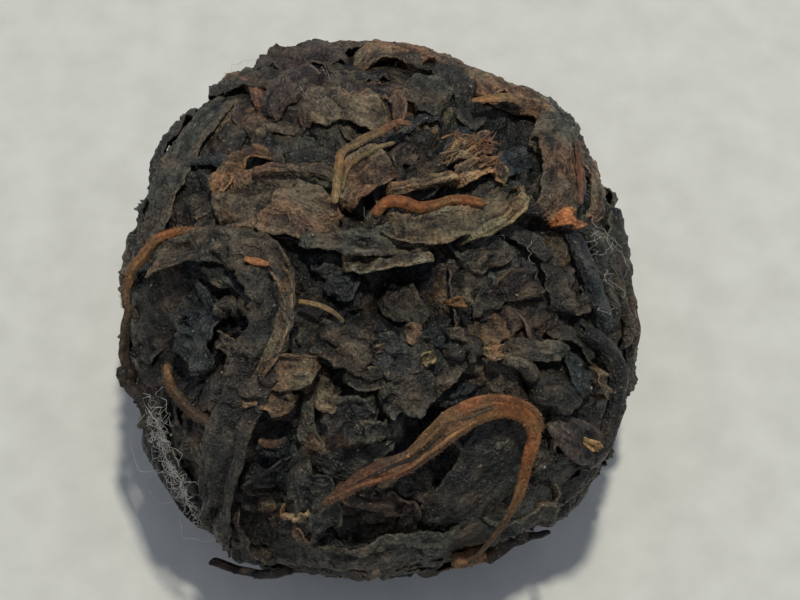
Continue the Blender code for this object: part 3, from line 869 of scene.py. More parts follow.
# %% The long band
BAND_ROUTE = (
    (-59, 76), (-48, 80), (-37, 79), (-28, 74), (-23, 64), (-23, 54),
    (-25, 44), (-27, 36), (-29, 20), (-30, 2), (-28, -16),
)
BAND_WIDTH, BAND_HEIGHT, BAND_SEED = 2.0, 0.75, 33
# The band's last tint, the darkest black at its lower front end, is painted shade
BAND_TINTS = ("bark", "black", "soot")

band = [direction(*spot) for spot in BAND_ROUTE]
print("the band is", round(route_length(band) / MM, 1), "mm long")

# %% [markdown]
# ## Placing the leaves
#
# The function now makes each leaf of the table. The place of each is also noted as a few points and
# a half width, so that the scattered scraps can keep clear of it later. A leaf deep in a hollow
# isn't noted, because scraps may lie over it.

# %% Placing the leaves
LEAF_GRAIN = 0.12 * MM
# Half the width of the strip of a leaf that is kept clear, as a share of its width
CLEAR_SHARE = 0.42
BAND_CLEAR = 0.9 * MM
DEEP_LEAF = -0.5

footprints = []


def keep_clear(route, steps, half_width):
    """Notes where a leaf or stalk lies, so that no scrap is put over it later."""
    footprints.append(([along_route(route, step / steps)[0] for step in range(1, steps)], half_width))


placed = bmesh.new()
for seed, (spots, width, proud, tint, style) in enumerate(BROAD_LEAVES.values()):
    route = [direction(*spot) for spot in spots]
    if proud > DEEP_LEAF:
        keep_clear(route, 8, CLEAR_SHARE * width * MM)
    join_into(placed, make_leaf(route, width, proud, seed, tint, STYLES[style], LEAF_GRAIN))
keep_clear(band, 24, BAND_CLEAR)
band_leaf = make_leaf(band, BAND_WIDTH, BAND_HEIGHT, BAND_SEED, BAND_TINTS, STYLES["pleated"], LEAF_GRAIN)
join_into(placed, band_leaf)
finish_piece("broad_leaves", placed, leaf_material)

# %% [markdown]
# ## Rolled strips
#
# Many leaves dried as tight rolls before they were pressed. The table gives each one its route, its
# width and height above the skin in millimetres, its tint, and how deep its grooves are, as a share
# of the full depth.

# %% Rolled strips
ROLLED_STRIPS = {
    "mauve_roll": (((-27, 126), (-21, 133), (-13, 139)), 1.0, 0.3, "plum", 1.0),
    "hooked_edge": (((-38, 158), (-34, 153), (-30, 147), (-28, 138), (-28, 129)), 0.6, 0.1, "rust", 1.0),
    "back_lip": (((-5, 148), (5, 150), (17, 144), (29, 139), (38, 141), (46, 140)), 1.3, 0.3, "brown", 0.7),
    "mauve_strip": (((-31, 100), (-21, 99.5), (-9, 97)), 0.4, 0.95, "brown", 1.0),
    "dark_fold": (((-24, 106), (-17, 107), (-9, 105)), 0.8, 0.3, "black", 1.0),
    "pale_strip": (((3, 94), (13, 96), (23, 100)), 0.36, 0.5, "tan", 1.0),
    "teal_tube": (((20, 110), (22, 117), (25, 124)), 1.2, -0.5, "teal", 1.0),
    "right_strip_a": (((52, 92), (54, 79), (56, 63), (57, 50)), 0.75, 0.2, "teal", 0.4),
    "right_strip_b": (((57, 97), (60, 84), (61.5, 68), (62, 50)), 0.5, 0.1, "black", 0.4),
    "right_strip_c": (((60, 99), (64, 84), (67, 62), (68, 36)), 0.65, 0.15, "grey", 0.4),
    "right_strip_d": (((64, 99), (69, 84), (72, 66), (73, 46), (72, 24)), 0.75, 0.2, "dark_brown", 0.4),
    # The stem low on the front right takes the darkest black tint, which is painted shade
    "right_stem": (((50, 53), (55, 46), (57, 36), (55, 25), (51, 15), (46, 6)), 0.9, 0.4, "soot", 0.4),
    "curved_rim": (((28, 48), (32, 47), (35, 42)), 0.5, 0.4, "grey", 1.0),
    "round_fold": (((34, 39), (40, 38), (43, 32)), 1.5, 0.2, "black", 1.0),
    "curled_tip": (((-40, 57), (-39, 61), (-36, 61), (-34, 57)), 0.4, -0.5, "grey", 1.0),
}
print(len(ROLLED_STRIPS), "rolled strips")

# %% [markdown]
# ## Making a roll
#
# A roll could be a tube, but only its upper side shows. So it is an arched strip: the same fine
# grid as a leaf, laid with a round cross-section and with long twisting grooves. Its fibres then
# run along it, as on the flat leaves.

# %% Making a roll
ROLL_GRAIN = 0.11 * MM
# How far round the strip is bent, as a share of half a turn to each side
ROLL_BEND = 0.62


def make_roll(route, width, proud, tint, grooved, seed, grain):
    """One leaf rolled up lengthwise, as a bmesh. grooved is the share of the full relief that it has."""
    half_length = route_length(route) / 2 / MM
    bm = bmesh.new()
    run, colour, crest = add_layers(bm)
    cells = max(6, round(2 * half_length * MM / grain))
    bmesh.ops.create_grid(bm, x_segments=cells, y_segments=max(8, round(width * MM * 1.6 / grain)), size=1)
    for vert in bm.verts:
        s, t, _ = vert.co
        along = s * half_length
        thickness = width / 2 * tapered(s, 0.45) * (1 + 0.25 * noise.noise(Vector((along * 0.6, seed, 0))))
        turn = t * math.pi * ROLL_BEND
        grooves = sharp_ridge(Vector((along * 0.4, turn * 2.2 + along * 0.15, seed * 4.1)))
        knobs = sharp_ridge(Vector((along * 1.3, turn * 1.4, seed * 6.7)))
        swell = thickness + grooved * (0.10 * grooves + 0.08 * knobs)
        lift = proud - thickness + swell * math.cos(turn) + 0.15 * wavy(seed, s, 0.0) - 0.7 * abs(s) ** 6
        vert.co = lay(route, (s + 1) / 2, swell * math.sin(turn) * MM, lift * MM)
        vert[run] = (along, turn * thickness, seed * 1.7 + 50)
        vert[colour] = TINTS[tint]
        # Grooves and knobs set the crest value, from which the finish paints shade and highlight
        vert[crest] = min(1.0, 0.7 * grooves + 0.4 * knobs)
    return thickened(bm)


rolls = bmesh.new()
for seed, (spots, width, proud, tint, grooved) in enumerate(ROLLED_STRIPS.values()):
    route = [direction(*spot) for spot in spots]
    keep_clear(route, 16, (width / 2 + 0.25) * MM)
    join_into(rolls, make_roll(route, width, proud, tint, grooved, seed, ROLL_GRAIN))
finish_piece("rolled_strips", rolls, leaf_material)

# %% [markdown]
# ## Bare stalks
#
# The orange-brown stalks are round or slightly flat rods that narrow and swell along their length.
# The wide ribbon at the front is the largest, with thin paler and darker strands lying on it. The
# table gives each stalk its route, its widths in even steps along it, its height above the skin and
# its tints. A stalk may also be flat, or stand off the lump at its end.

# %% Bare stalks
BARE_STALKS = {
    "tent_edge": {
        "spots": ((-10, 88), (-9.5, 94), (-9, 100), (-8, 104), (-4, 107), (1, 110), (5, 113), (9, 113)),
        "widths": (0.25, 0.4, 0.34, 0.36, 0.42, 0.34, 0.2), "proud": 0.8, "tints": ("ochre", "stalk_brown"),
        "flatness": 0.4,
    },
    "tent_inner_edge": {
        "spots": ((-8, 92), (-6, 100), (-1, 104), (5, 107)), "widths": (0.1, 0.22, 0.15), "proud": 0.8,
        "tints": ("ochre", "tan"),
    },
    "rust_rib": {
        "spots": ((47.5, 127), (50.5, 115), (51, 99)), "widths": (0.2, 0.34, 0.22), "proud": 0.6,
        "tints": ("rust", "stalk_red"),
    },
    "top_stem": {
        "spots": ((0, 84), (3, 88), (7, 88.5), (11, 87), (15, 87.5), (20, 89.5), (27, 89)),
        "widths": (0.4, 0.52, 0.5, 0.44, 0.46, 0.4), "proud": 1.0, "tints": ("stalk_orange", "stalk_orange"),
    },
    "bark_ribbon": {
        "spots": (
            ((-9, 23), (-6, 25), (-1, 28), (6, 30), (11, 33), (15, 36), (20, 38), (25, 38.5))
            + ((29.5, 36.5), (31, 32), (29, 26), (27, 19), (24, 12), (20, 4), (17, -1))
        ),
        "widths": (0.2, 0.6, 0.9, 0.85, 0.9, 0.72, 0.62, 0.62, 0.60, 0.52, 0.42, 0.3, 0.18),
        "proud": 0.85, "flatness": 0.4,
        "tints": ("stalk_brown", "rust", "stalk_orange", "stalk_orange", "umber"),
    },
    "ribbon_fringe": {
        "spots": ((6, 31.5), (10, 34.5), (14.5, 38), (20, 40.3), (26, 40.5), (31.5, 37.5), (33, 33)),
        "widths": (0.2, 0.42, 0.46, 0.40, 0.34, 0.26, 0.1), "proud": 0.72,
        "tints": ("stalk_tan", "stalk_tan", "rust"), "flatness": 0.5,
    },
    "red_stub": {
        "spots": ((-7, 24), (-5, 22), (-1, 20), (4, 19)), "widths": (0.5, 0.45, 0.4), "proud": 0.2,
        "tints": ("rust", "stalk_black"),
    },
    "stub_end": {
        "spots": ((16, -8), (20, -10), (24, -13)), "widths": (0.7, 0.8, 0.8), "proud": 0.25,
        "tints": ("tan", "stalk_brown"),
    },
    "loose_stem_right": {
        "spots": ((23, -12), (28, -6), (32, -5), (35.5, -5)),
        "widths": (0.6, 0.6, 0.4, 0.2), "proud": 0.35, "tints": ("stalk_black", "stalk_black"), "stand": 0.35,
    },
    "loose_stem_left": {
        "spots": ((-16, -4), (-19, -8), (-22.5, -13.5), (-27.5, -15.5), (-32.5, -15.5)),
        "widths": (0.35, 0.45, 0.42, 0.4), "proud": 0.4, "stand": 0.85,
        "tints": ("stalk_black", "stalk_black"),
    },
    "left_orange_stem": {
        "spots": ((-41, 83), (-48, 87), (-54, 88), (-60, 84), (-65, 78), (-67, 69), (-67, 60)),
        "widths": (0.4, 0.46, 0.46, 0.42, 0.38), "proud": 0.4, "stand": -0.2,
        "tints": ("stalk_fawn", "stalk_fawn", "stalk_brown"),
    },
    "left_dark_stem": {
        "spots": ((-66, 62), (-69, 46), (-71, 30), (-68, 20)), "widths": (0.4, 0.5, 0.5), "proud": 0.15,
        "tints": ("stalk_brown", "stalk_black"),
    },
    "knob_stem": {
        "spots": ((-68, 16), (-63, 20), (-56, 24), (-51.5, 18), (-48.5, 3.5), (-45, -12), (-38, -15)),
        "widths": (0.55, 0.55, 0.5, 0.4, 0.35), "proud": 0.25, "tints": ("stalk_black", "stalk_black"),
    },
    "stem_knob": {
        "spots": ((-70, 18), (-68, 19), (-65, 20)), "widths": (0.5, 0.9, 0.6), "proud": 0.4,
        "tints": ("stalk_black", "stalk_black"),
    },
    "fibrous_stem": {
        "spots": ((-48, 43), (-46, 37), (-43, 34), (-37, 32), (-30, 31)),
        "widths": (0.25, 0.36, 0.42, 0.38, 0.3), "proud": 0.05, "tints": ("tan", "umber", "dark_brown"),
    },
    "orange_fleck": {
        "spots": ((-30, 73), (-27, 72), (-24, 71)), "widths": (0.2, 0.36, 0.14), "proud": 1.0,
        "tints": ("stalk_fawn", "stalk_fawn"), "flatness": 0.5,
    },
    "pale_twig": {
        "spots": ((-18, 62), (-13, 61), (-9, 59), (-7, 57)), "widths": (0.2, 0.24, 0.18), "proud": 0.3,
        "tints": ("ochre", "tan"),
    },
    "plum_stub": {
        "spots": ((-23, 31), (-20, 31), (-17, 32.5)), "widths": (0.25, 0.34, 0.2), "proud": 0.05,
        "tints": ("rust", "stalk_black"),
    },
    "ochre_strip": {
        "spots": ((23, 126), (27, 129), (31, 132), (34, 132)), "widths": (0.25, 0.45, 0.6, 0.5), "proud": 0.4,
        "tints": ("ochre", "tan"), "flatness": 0.3,
    },
    "ribbon_pale_strand": {
        "spots": ((-8, 24), (-2, 27), (5, 29), (10, 31.8), (15, 35), (20, 37.3)),
        "widths": (0.08, 0.15, 0.13, 0.15, 0.1), "proud": 0.92,
        "tints": ("stalk_brown", "stalk_tan", "stalk_fawn"),
    },
    "ribbon_dark_strand": {
        "spots": ((-3, 27.4), (2, 29.6), (7, 31.3), (12, 34.6), (17, 37.6), (23, 39.4)),
        "widths": (0.06, 0.12, 0.1, 0.12, 0.06), "proud": 0.90,
        "tints": ("dark_brown", "stalk_black", "umber"),
    },
    "ribbon_upper_strand": {
        "spots": ((4, 30.8), (9, 33.4), (13, 36.6), (18, 39), (24, 40)),
        "widths": (0.08, 0.16, 0.14, 0.14, 0.06), "proud": 0.88,
        "tints": ("stalk_tan", "stalk_tan", "stalk_brown"),
    },
}
widest = max(max(facts["widths"]) for facts in BARE_STALKS.values())
print(len(BARE_STALKS), "stalks and strands, the widest", widest, "mm")

# %% [markdown]
# ## Making a stalk
#
# A ring is extruded step by step into a rod of radius 1, and then each point of the rod is laid on
# the route at its own width. A curve with a bevel would make such a rod too, but not its uneven
# width, its ribs along and its fine wrinkles across.

# %% Making a stalk
STALK_SIDES = 14
STALK_GRAIN = 0.09 * MM


def make_rod(sides, rings):
    """A closed rod of radius 1 that runs along Z from -1 to 1, as a bmesh, and its three attributes."""
    bm = bmesh.new()
    layers = add_layers(bm)
    bmesh.ops.create_circle(bm, segments=sides, radius=1)
    bmesh.ops.translate(bm, verts=bm.verts, vec=(0, 0, -1))
    ring = bm.edges[:]
    for _ in range(rings):
        grown = bmesh.ops.extrude_edge_only(bm, edges=ring)["geom"]
        points = [part for part in grown if isinstance(part, bmesh.types.BMVert)]
        bmesh.ops.translate(bm, verts=points, vec=(0, 0, 2 / rings))
        ring = [part for part in grown if isinstance(part, bmesh.types.BMEdge)]
    bmesh.ops.holes_fill(bm, edges=[edge for edge in bm.edges if edge.is_boundary], sides=0)
    return bm, layers


def make_stalk(route, seed, widths, proud, tints, flatness=1.0, stand=0.0):
    """One bare stalk as a bmesh, ribbed along its length and wrinkled across.

    widths are its widths in even steps along it, and stand is how far its end rises off the lump."""
    half_length = route_length(route) / 2 / MM
    rings = max(6, round(2 * half_length * MM / STALK_GRAIN))
    bm, (run, colour, crest) = make_rod(STALK_SIDES, rings)
    for vert in bm.verts:
        x, y, s = vert.co
        along, turn = s * half_length, math.atan2(y, x)
        share = (s + 1) / 2
        ribs = 0.06 * math.cos(5 * turn + along * 0.6) + 0.10 * noise.noise(Vector((along * 2.0, turn, seed)))
        ribs += 0.12 * noise.noise(Vector((along * 0.8, 0.5, seed * 1.7)))
        wrinkle = 0.06 * sharp_ridge(Vector((along * 5.0, turn * 1.2, seed * 2.9)))
        first, second, blend = around(widths, share)
        width = first + (second - first) * blend
        thickness = width / 2 * (1 + ribs + wrinkle)
        rounded = math.sqrt(max(0.05, 1 - abs(s) ** 40))
        rise = proud - width / 2 * flatness + 0.1 * wavy(seed + 1, s, 0.0) + stand * share * share
        lift = rise + y * thickness * flatness * rounded
        vert.co = lay(route, share, x * thickness * rounded * MM, lift * MM)
        vert[run] = (along, turn * width / 2, seed * 1.7 + 90)
        vert[colour] = tint_along(tints, share)
        # Ribs and wrinkles set the crest value, from which the finish paints shade and highlight
        vert[crest] = min(1.0, max(0.0, 4 * ribs + 5 * wrinkle))
    bmesh.ops.recalc_face_normals(bm, faces=bm.faces)
    return bm


rod, _ = make_rod(STALK_SIDES, 6)
print("a rod of six steps has", len(rod.faces), "faces")
rod.free()

# %% [markdown]
# ## The stalk finish and the stalks
#
# The stalks have the same kind of finish as the leaves, but a drier and rougher one, with half the
# contrast, and with fibres that are short and close, because the real skin is velvety.

# %% The stalk finish and the stalks
OVER_THE_STALK = (3.0, 2.2, 1.0)
# How far the scraps stay from a stalk, in millimetres
STALK_MARGIN = 0.5

stalk_material = leaf_finish(
    "leaf_stalk",
    pale=(0.270, 0.140, 0.065, 1),
    rub_and_highlight=0.35,
    contrast=0.5,
    stretch=OVER_THE_STALK,
    roughness=(0.85, 0.65),
    gloss=0.3,
    bumps=(0.06, 0.05, 0.05),
)
stalks = bmesh.new()
for seed, facts in enumerate(BARE_STALKS.values()):
    route = [direction(*spot) for spot in facts["spots"]]
    half_width = max(facts["widths"]) / 2 + STALK_MARGIN
    keep_clear(route, 16, half_width * MM)
    sizes = {key: value for key, value in facts.items() if key != "spots"}
    join_into(stalks, make_stalk(route, seed, **sizes))
print("so far the stalks have", len(stalks.faces), "faces")

# %% [markdown]
# ## Frayed fibres
#
# At the top the end of a stalk has split into a mat of pale fibres, which lie nearly side by side.
# Each is a thin stalk. A seeded draw gives it a place, a lean and a bend near the mat's own, so the
# fibres cross a little, as they do on the real one.

# %% Frayed fibres
FRAYED_FIBRES = 70
FRAYED_SEED = 13
# A stalk's seed decides its ribs, and the fibres' seeds start here
FIRST_FRAYED = 40
FRAYED_TINTS = ("tan", "stalk_brown")
# The middle of the mat as side and over in degrees, and the way that its fibres run
MAT_SIDE, MAT_OVER = 25, 109
MAT_RUN = direction(27, 113) - direction(23, 107)

draw = random.Random(FRAYED_SEED)
for index in range(FRAYED_FIBRES):
    way = direction(MAT_SIDE + draw.uniform(-6, 5), MAT_OVER + draw.uniform(-4, 3))
    lean = MAT_RUN * draw.uniform(0.1, 0.5)
    lean += Vector([draw.uniform(-0.035, 0.035) for _ in range(3)])
    bend = Vector([draw.uniform(-0.025, 0.025) for _ in range(3)])
    route = [(way - lean).normalized(), (way + bend).normalized(), (way + lean).normalized()]
    widths = (draw.uniform(0.05, 0.12), 0.08, 0.04)
    seed, proud = index + FIRST_FRAYED, draw.uniform(0.2, 0.6)
    join_into(stalks, make_stalk(route, seed, widths, proud, FRAYED_TINTS, stand=0.1))
finish_piece("bare_stalks", stalks, stalk_material)

# %% [markdown]
# ## Scattering by rule
#
# Between the leaves that can be told apart the lump is packed with small torn scraps. Nobody can
# place hundreds of those by hand, and Blender's particle hair would set them too evenly, so they
# follow a rule. A golden-angle spiral spreads their middles evenly over the whole lump. A short
# route runs through each middle, and a scrap is left out where a placed leaf already lies.

# %% Scattering by rule
def short_route(middle, heading, half_span, bend):
    """A short route through this direction: half_span to each side of it, and bent a little."""
    east = middle.cross(Vector((0, 0, 1))).normalized()
    runs = east * math.cos(heading) + middle.cross(east) * math.sin(heading)
    ways = (middle - runs * half_span, middle + middle.cross(runs) * bend, middle + runs * half_span)
    return [way.normalized() for way in ways]


def room(way):
    """How far this direction lies beyond the edge of the nearest placed leaf or stalk, in millimetres."""
    gaps = (
        min((way - other).length for other in ways) * MEAN_RADIUS - half_width
        for ways, half_width in footprints
    )
    return min(gaps) / MM


def spiral_way(index, count):
    """The direction of one of many points spread evenly over the lump."""
    height = 1 - 2 * (index + 0.5) / count
    turn = index * math.pi * (3 - math.sqrt(5))
    level = math.sqrt(1 - height * height)
    return Vector((level * math.cos(turn), level * math.sin(turn), height))


print("placed leaves and stalks to keep clear of:", len(footprints))

# %% [markdown]
# ## Scraps of leaf between the large ones
#
# A seeded draw varies each scrap, and a slow noise gives neighbours nearly the same heading, because
# pressed leaves lie along one another. The scraps lie deeper in a hollow and close beside a placed
# leaf. Near the outline of the photograph's view and beyond it the cloth pressed the real ones
# smooth, so there they all get the calm relief.

# %% Scraps of leaf between the large ones
SCRAPS = 620
SCRAP_SEED = 11
SCRAP_GRAIN, SCRAP_TUCK = 0.16 * MM, 0.25 * MM
SCRAP_TINTS = (
    "black", "black", "black", "teal", "dark_brown", "teal", "grey", "plum", "grey", "dark_brown"
)
SCRAP_KINDS = ("pressed", "furrowed", "crumpled")
# The cosine of the angle from the photograph's view past which the scraps are calm
CALM_COSINE = 0.58
# No scrap lies where the hollows are deeper than this, in millimetres
HOLLOW_LIMIT = 0.4
# A leaf's seed decides its crumples, and the scraps' seeds start here
FIRST_SCRAP = 200

draw = random.Random(SCRAP_SEED)
scraps = {kind: bmesh.new() for kind in SCRAP_KINDS}
for index in range(SCRAPS):
    middle = spiral_way(index, SCRAPS)
    heading = 3 * noise.noise(middle * 1.6) + draw.uniform(-0.6, 0.6)
    route = short_route(middle, heading, draw.uniform(0.06, 0.19), draw.uniform(-0.05, 0.05))
    width, proud = draw.uniform(0.5, 1.6), draw.uniform(-0.5, -0.1)
    slant = (draw.uniform(-0.3, 0.3), draw.uniform(-0.35, 0.35))
    tint, kind = draw.choice(SCRAP_TINTS), draw.choice(SCRAP_KINDS)
    hollow, free = hollow_depth(middle), room(middle)
    if free > 0 and hollow < HOLLOW_LIMIT:
        proud -= 0.75 * hollow + 0.3 * max(0.0, 1 - free) + 0.15 * (1 - abs(middle.z))
        style = STYLES[kind if middle.dot(FRONT_VIEW) > CALM_COSINE else "calm"]
        seed = index + FIRST_SCRAP
        leaf = make_leaf(route, width, proud, seed, tint, style, SCRAP_GRAIN, SCRAP_TUCK, slant)
        join_into(scraps[kind], leaf)
for kind in SCRAP_KINDS:
    finish_piece(f"{kind}_scraps", scraps[kind], leaf_material)

# %% [markdown]
# ## Leaves on the sides that the photograph doesn't show
#
# The back, the flanks and the underside carry leaves and rolls of the same sizes, so that the lump
# is as finished there as in front. They follow the same rule and the same seed as the CAD source,
# so each one dresses its own solid form. Every third one is a roll.

# %% Leaves on the hidden sides
HIDDEN_LEAVES = 30
HIDDEN_SEED = 7
# The cosine of the angle from the photograph's view within which none of them is placed
SEEN_COSINE = 0.27
HIDDEN_HEIGHT = 0.15

draw = random.Random(HIDDEN_SEED)
hidden = bmesh.new()
for index in range(HIDDEN_LEAVES * 2):
    middle = spiral_way(index, HIDDEN_LEAVES * 2)
    heading = draw.uniform(0, math.pi)
    half_span = draw.uniform(0.16, 0.3)
    if middle.dot(FRONT_VIEW) > SEEN_COSINE:
        continue
    route = short_route(middle, heading, half_span, draw.uniform(-0.06, 0.06))
    tint = SCRAP_TINTS[index % len(SCRAP_TINTS)]
    if index % 3:
        width = draw.uniform(1.7, 2.7)
        join_into(hidden, make_leaf(route, width, HIDDEN_HEIGHT, index, tint, STYLES["calm"], SCRAP_GRAIN))
    else:
        width = draw.uniform(0.8, 1.2)
        join_into(hidden, make_roll(route, width, HIDDEN_HEIGHT, tint, 1.0, index, SCRAP_GRAIN))
finish_piece("hidden_side_leaves", hidden, leaf_material)

# %% [markdown]
# ## Finding the surface
#
# Crumbs and fuzz lie on the finished leaves, so the script has to find that surface. A line is cast
# from outside towards the middle of the lump, and the first piece that it meets gives the place, the
# way it faces there and its colour. A Shrinkwrap modifier finds a surface too, but not its colour.

# %% Finding the surface
def surface_spot(way, targets):
    """Where a line from this direction first meets the tea, or None where it meets nothing.

    It gives the place, the way the surface faces there and its colour."""
    start = LUMP_MIDDLE + way * 2 * MEAN_RADIUS
    nearest = None
    for target in targets:
        met, place, facing, face = target.ray_cast(start, -way)
        if met and (nearest is None or (place - start).length < (nearest[0] - start).length):
            corner = target.data.polygons[face].vertices[0]
            nearest = (place, facing, target.data.attributes["tint"].data[corner].vector.copy())
    return nearest


top_place, _, _ = surface_spot(Vector((0, 0, 1)), pieces)
print("the tea's highest point over its middle is", round(top_place.z / MM, 2), "mm up")

# %% [markdown]
# ## Crumbs
#
# Tiny broken bits of leaf and stalk cling to the whole surface and make it grainy. Each one is a
# ball of only twenty faces, pushed out of shape by noise and flattened, because a shape that is
# repeated thousands of times has to stay light. Most take the colour of the leaf below, darker or
# lighter, and a few are bits of stalk or pale specks, which are partly dust and partly painted
# glints.

# %% Crumbs
CRUMBS = 3600
CRUMB_SEED = 5
# The pale specks among the crumbs are partly dust and partly painted glints
CRUMB_TINTS = ("olive", "dust_and_glint", "tan", "dust_and_glint", "rust")
# The share of crumbs with a tint of their own, and how dark and how light the others may be beside
# the leaf below
OWN_TINT_SHARE = 0.15
CRUMB_SHADES = (0.6, 2.0)
# The smallest and the largest radius in millimetres, and the height as a share of the width
CRUMB_RADII = (0.03, 0.10)
CRUMB_FLATNESS = 0.6

draw = random.Random(CRUMB_SEED)
crumbs = bmesh.new()
leaves = list(pieces)
for index in range(CRUMBS):
    bm = bmesh.new()
    run, colour, crest = add_layers(bm)
    bmesh.ops.create_icosphere(bm, subdivisions=1, radius=draw.uniform(*CRUMB_RADII) * MM)
    way = spiral_way(index, CRUMBS)
    way = (way + Vector([draw.uniform(-0.03, 0.03) for _ in range(3)])).normalized()
    place, facing, below = surface_spot(way, leaves)
    if draw.random() < OWN_TINT_SHARE:
        tint = Vector(TINTS[draw.choice(CRUMB_TINTS)])
    else:
        tint = below * draw.uniform(*CRUMB_SHADES)
    turn = facing.to_track_quat("Z", "Y")
    for vert in bm.verts:
        vert[run], vert[colour], vert[crest] = vert.co / MM, tint, 0.3
        shaped = vert.co * (1 + 0.6 * noise.noise(vert.co / MM * 6 + Vector((index, 0, 0))))
        shaped.z *= CRUMB_FLATNESS
        vert.co = place + turn @ shaped
        vert.co.z = max(vert.co.z, 0.0)
    join_into(crumbs, bm)
finish_piece("crumbs", crumbs, leaf_material)

# %% [markdown]
# ## Fuzz on the stalks
#
# The orange stalks are velvety: short hairs stand on them and catch the light. Blender's hair would
# not be exported as a mesh, so each hair is a thin three-sided cone. A line cast down on the stalk
# gives its foot, the way the stalk faces there and the colour, which the hair takes a little paler.

# %% Fuzz on the stalks
FUZZ_SEED = 21
FUZZ_PER_MM = 120
HAIR_WIDTH, HAIR_LENGTH = 0.024 * MM, 0.13 * MM
FUZZY_STALKS = ("bark_ribbon", "ribbon_fringe", "top_stem", "left_orange_stem", "fibrous_stem")
# The shortest and the longest hair, as shares of HAIR_LENGTH
HAIR_LENGTHS = (0.5, 1.3)
HAIR_PALENESS = 1.3
# How far out of the stalk a hair's middle lies, as a share of its length
HAIR_STAND = 0.35

draw = random.Random(FUZZ_SEED)
fuzz = bmesh.new()
bare = [piece for piece in pieces if piece.name == "bare_stalks"]
for name in FUZZY_STALKS:
    width = max(BARE_STALKS[name]["widths"])
    route = [direction(*spot) for spot in BARE_STALKS[name]["spots"]]
    for _ in range(round(route_length(route) / MM * FUZZ_PER_MM)):
        way = lay(route, draw.random(), draw.uniform(-0.55, 0.55) * width * MM, 0) - LUMP_MIDDLE
        lean = Vector([draw.uniform(-0.7, 0.7) for _ in range(3)])
        length = HAIR_LENGTH * draw.uniform(*HAIR_LENGTHS)
        spot = surface_spot(way.normalized(), bare)
        if spot is None:
            continue
        place, facing, below = spot
        bm = bmesh.new()
        run, colour, crest = add_layers(bm)
        bmesh.ops.create_cone(
            bm, cap_ends=True, segments=3, radius1=HAIR_WIDTH / 2, radius2=HAIR_WIDTH / 8, depth=length
        )
        turn = (facing + lean).to_track_quat("Z", "Y")
        for vert in bm.verts:
            # A crest value of 0.9 gives each hair the finish's painted crest highlight
            vert[run], vert[colour], vert[crest] = vert.co / MM, below * HAIR_PALENESS, 0.9
            vert.co = place + turn @ (vert.co + Vector((0, 0, HAIR_STAND * length)))
        join_into(fuzz, bm)
finish_piece("stalk_fuzz", fuzz, stalk_material)

# %% [markdown]
# ## Where the lint lies
#
# Fine pale fibres of the wrapping cloth cling to the left and right flanks, and a few lie over the
# top. The table gives each tuft its middle in degrees, how far its fibres start from it, how many
# there are, how much each one bends, and the length of its steps. A few loops hang outside the
# outline, and each has a route of its own, as side and over in degrees and height in millimetres.

# %% Where the lint lies
LINT_TUFTS = (
    ((-50, 28), 0.03, 6, 1.2, 0.034),
    ((-47.5, 24), 0.025, 10, 1.6, 0.024),
    ((-45, 19), 0.025, 14, 1.6, 0.024),
    ((-43, 12), 0.025, 18, 1.6, 0.024),
    ((-41, 5), 0.025, 13, 1.6, 0.022),
    ((-37.5, -1), 0.02, 6, 1.2, 0.022),
    ((58, 84), 0.08, 4, 0.8, 0.022),
    ((62, 60), 0.08, 4, 0.8, 0.022),
    ((57, 97), 0.06, 3, 0.8, 0.022),
    ((-25, 126), 0.30, 5, 0.35, 0.022),
    ((20, 95), 0.45, 5, 0.35, 0.022),
)
LINT_LOOPS = (
    ((-45, 10, 0.4), (-52, -13, 0.45), (-49.5, -14, 0.95), (-47, -14, 0.85), (-43, -3, 0.4)),
    ((-40, -2, 0.3), (-41.5, -15, 0.65), (-39, -15, 1.0), (-36.5, -15, 0.6), (-30.5, 0, 0.4)),
    ((-52, 24, 0.3), (-56, 8, 0.8), (-53, -4, 0.9), (-48, 4, 0.3)),
)
print(sum(count for _, _, count, _, _ in LINT_TUFTS), "loose fibres and", len(LINT_LOOPS), "loops")

# %% [markdown]
# ## Making a fibre
#
# A fibre is a hair-thin rod along a wandering path close over the skin. It is made as the stalks
# are, from a rod of three sides that is laid on its route. Its height goes smoothly from one of its
# given heights to the next, so that it rises and dips without kinks.

# %% Making a fibre
# Widths in millimetres
FIBRE_WIDTH = 0.019
# The loops are the thickest fibres
LOOP_WIDTH = 1.9 * FIBRE_WIDTH
FIBRE_SIDES = 3
STEPS_PER_SPAN = 6


def make_fibre(route, lifts, width=FIBRE_WIDTH):
    """One fibre of cloth over the skin, at these heights in millimetres along its route, as a bmesh."""
    bm, _ = make_rod(FIBRE_SIDES, STEPS_PER_SPAN * (len(route) - 1))
    for vert in bm.verts:
        x, y, s = vert.co
        share = (s + 1) / 2
        first, second, step = around(lifts, share)
        blend = step * step * (3 - 2 * step)
        lift = first * (1 - blend) + second * blend + y * width / 2
        vert.co = lay(route, share, x * width / 2 * MM, lift * MM)
    bmesh.ops.recalc_face_normals(bm, faces=bm.faces)
    return bm


print("a fibre is", FIBRE_WIDTH, "mm thick and a loop", round(LOOP_WIDTH, 3))

# %% [markdown]
# ## The lint's finish
#
# The fibres are undyed cotton, dull and uneven in colour. A noise mixes a darker and a paler shade.

# %% The lint's finish
LINT_DARK, LINT_PALE = (0.22, 0.205, 0.170, 1), (0.58, 0.56, 0.49, 1)
DULL_ROUGHNESS = 0.9

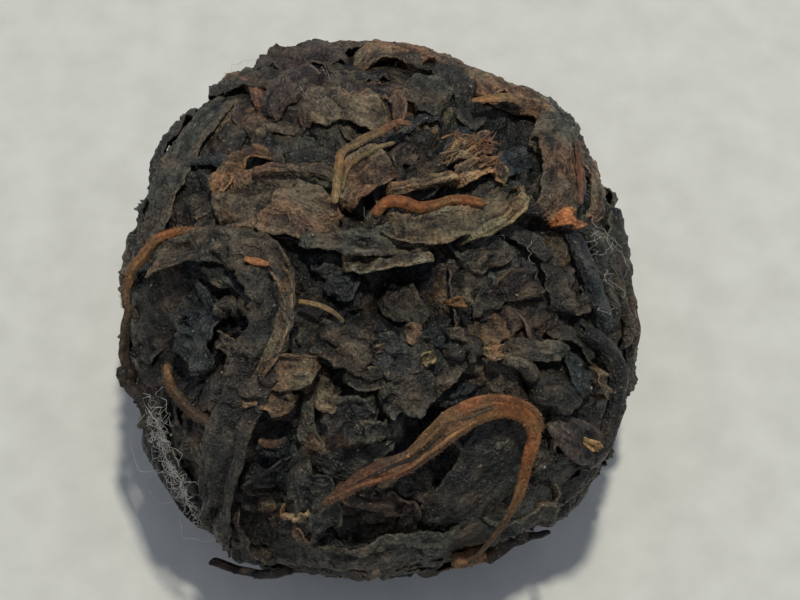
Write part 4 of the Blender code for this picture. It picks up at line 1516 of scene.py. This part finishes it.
lint_material, lint_tree, lint_shader = new_finish("cloth_lint")
lint_place = node(lint_tree, "ShaderNodeTexCoord").outputs["Object"]
lint_noise = run_noise(lint_tree, lint_place, PER_MILLIMETRE, 1.4)
lint_shade = mixed_colour(lint_tree, lint_noise, LINT_DARK, LINT_PALE)
lint_tree.links.new(lint_shade, lint_shader.inputs["Base Color"])
lint_shader.inputs["Roughness"].default_value = DULL_ROUGHNESS
print("the lint's finish has", len(lint_tree.nodes), "nodes")

# %% [markdown]
# ## Laying the lint
#
# The points of each fibre come from a seeded walk, which bends a little at each step as a loose
# fibre does. The loops follow their own routes.

# %% Laying the lint
LINT_SEED = 3

draw = random.Random(LINT_SEED)
lint = bmesh.new()
for (side, over), spread, count, bend, stride in LINT_TUFTS:
    for _ in range(count):
        way = direction(side, over) + Vector([draw.uniform(-spread, spread) for _ in range(3)])
        route = [way.normalized()]
        heading = Vector([draw.uniform(-1, 1) for _ in range(3)])
        for _ in range(draw.randint(6, 10)):
            heading = (heading + Vector([draw.uniform(-bend, bend) for _ in range(3)])).normalized()
            route.append((route[-1] + heading * stride).normalized())
        join_into(lint, make_fibre(route, [draw.uniform(0.0, 0.5) for _ in route]))
for spots in LINT_LOOPS:
    route = [direction(side, over) for side, over, _ in spots]
    join_into(lint, make_fibre(route, [lift for _, _, lift in spots], LOOP_WIDTH))
finish_piece("lint", lint, lint_material)

# %% [markdown]
# ## The floor's finish
#
# The floor is a plain pale surface with the faintest cloudiness, so that the eye stays on the tea. A
# single flat colour would look unreal beside the fine detail of the leaves.

# %% The floor's finish
FLOOR_SHADE, FLOOR_PALE = (0.560, 0.550, 0.474, 1), (0.635, 0.625, 0.540, 1)

floor_material, floor_tree, floor_shader = new_finish("pale_floor")
floor_place = node(floor_tree, "ShaderNodeTexCoord").outputs["Object"]
floor_clouds = run_noise(floor_tree, floor_place, PER_MILLIMETRE, 0.45, 4.0)
floor_mix = ranged(floor_tree, floor_clouds, 0.3, 0.7, 0.0, 1.0)
floor_shade = mixed_colour(floor_tree, floor_mix, FLOOR_SHADE, FLOOR_PALE)
floor_tree.links.new(floor_shade, floor_shader.inputs["Base Color"])
floor_shader.inputs["Roughness"].default_value = DULL_ROUGHNESS
floor_data.materials.append(floor_material)
print("the floor's finish has", len(floor_tree.nodes), "nodes")
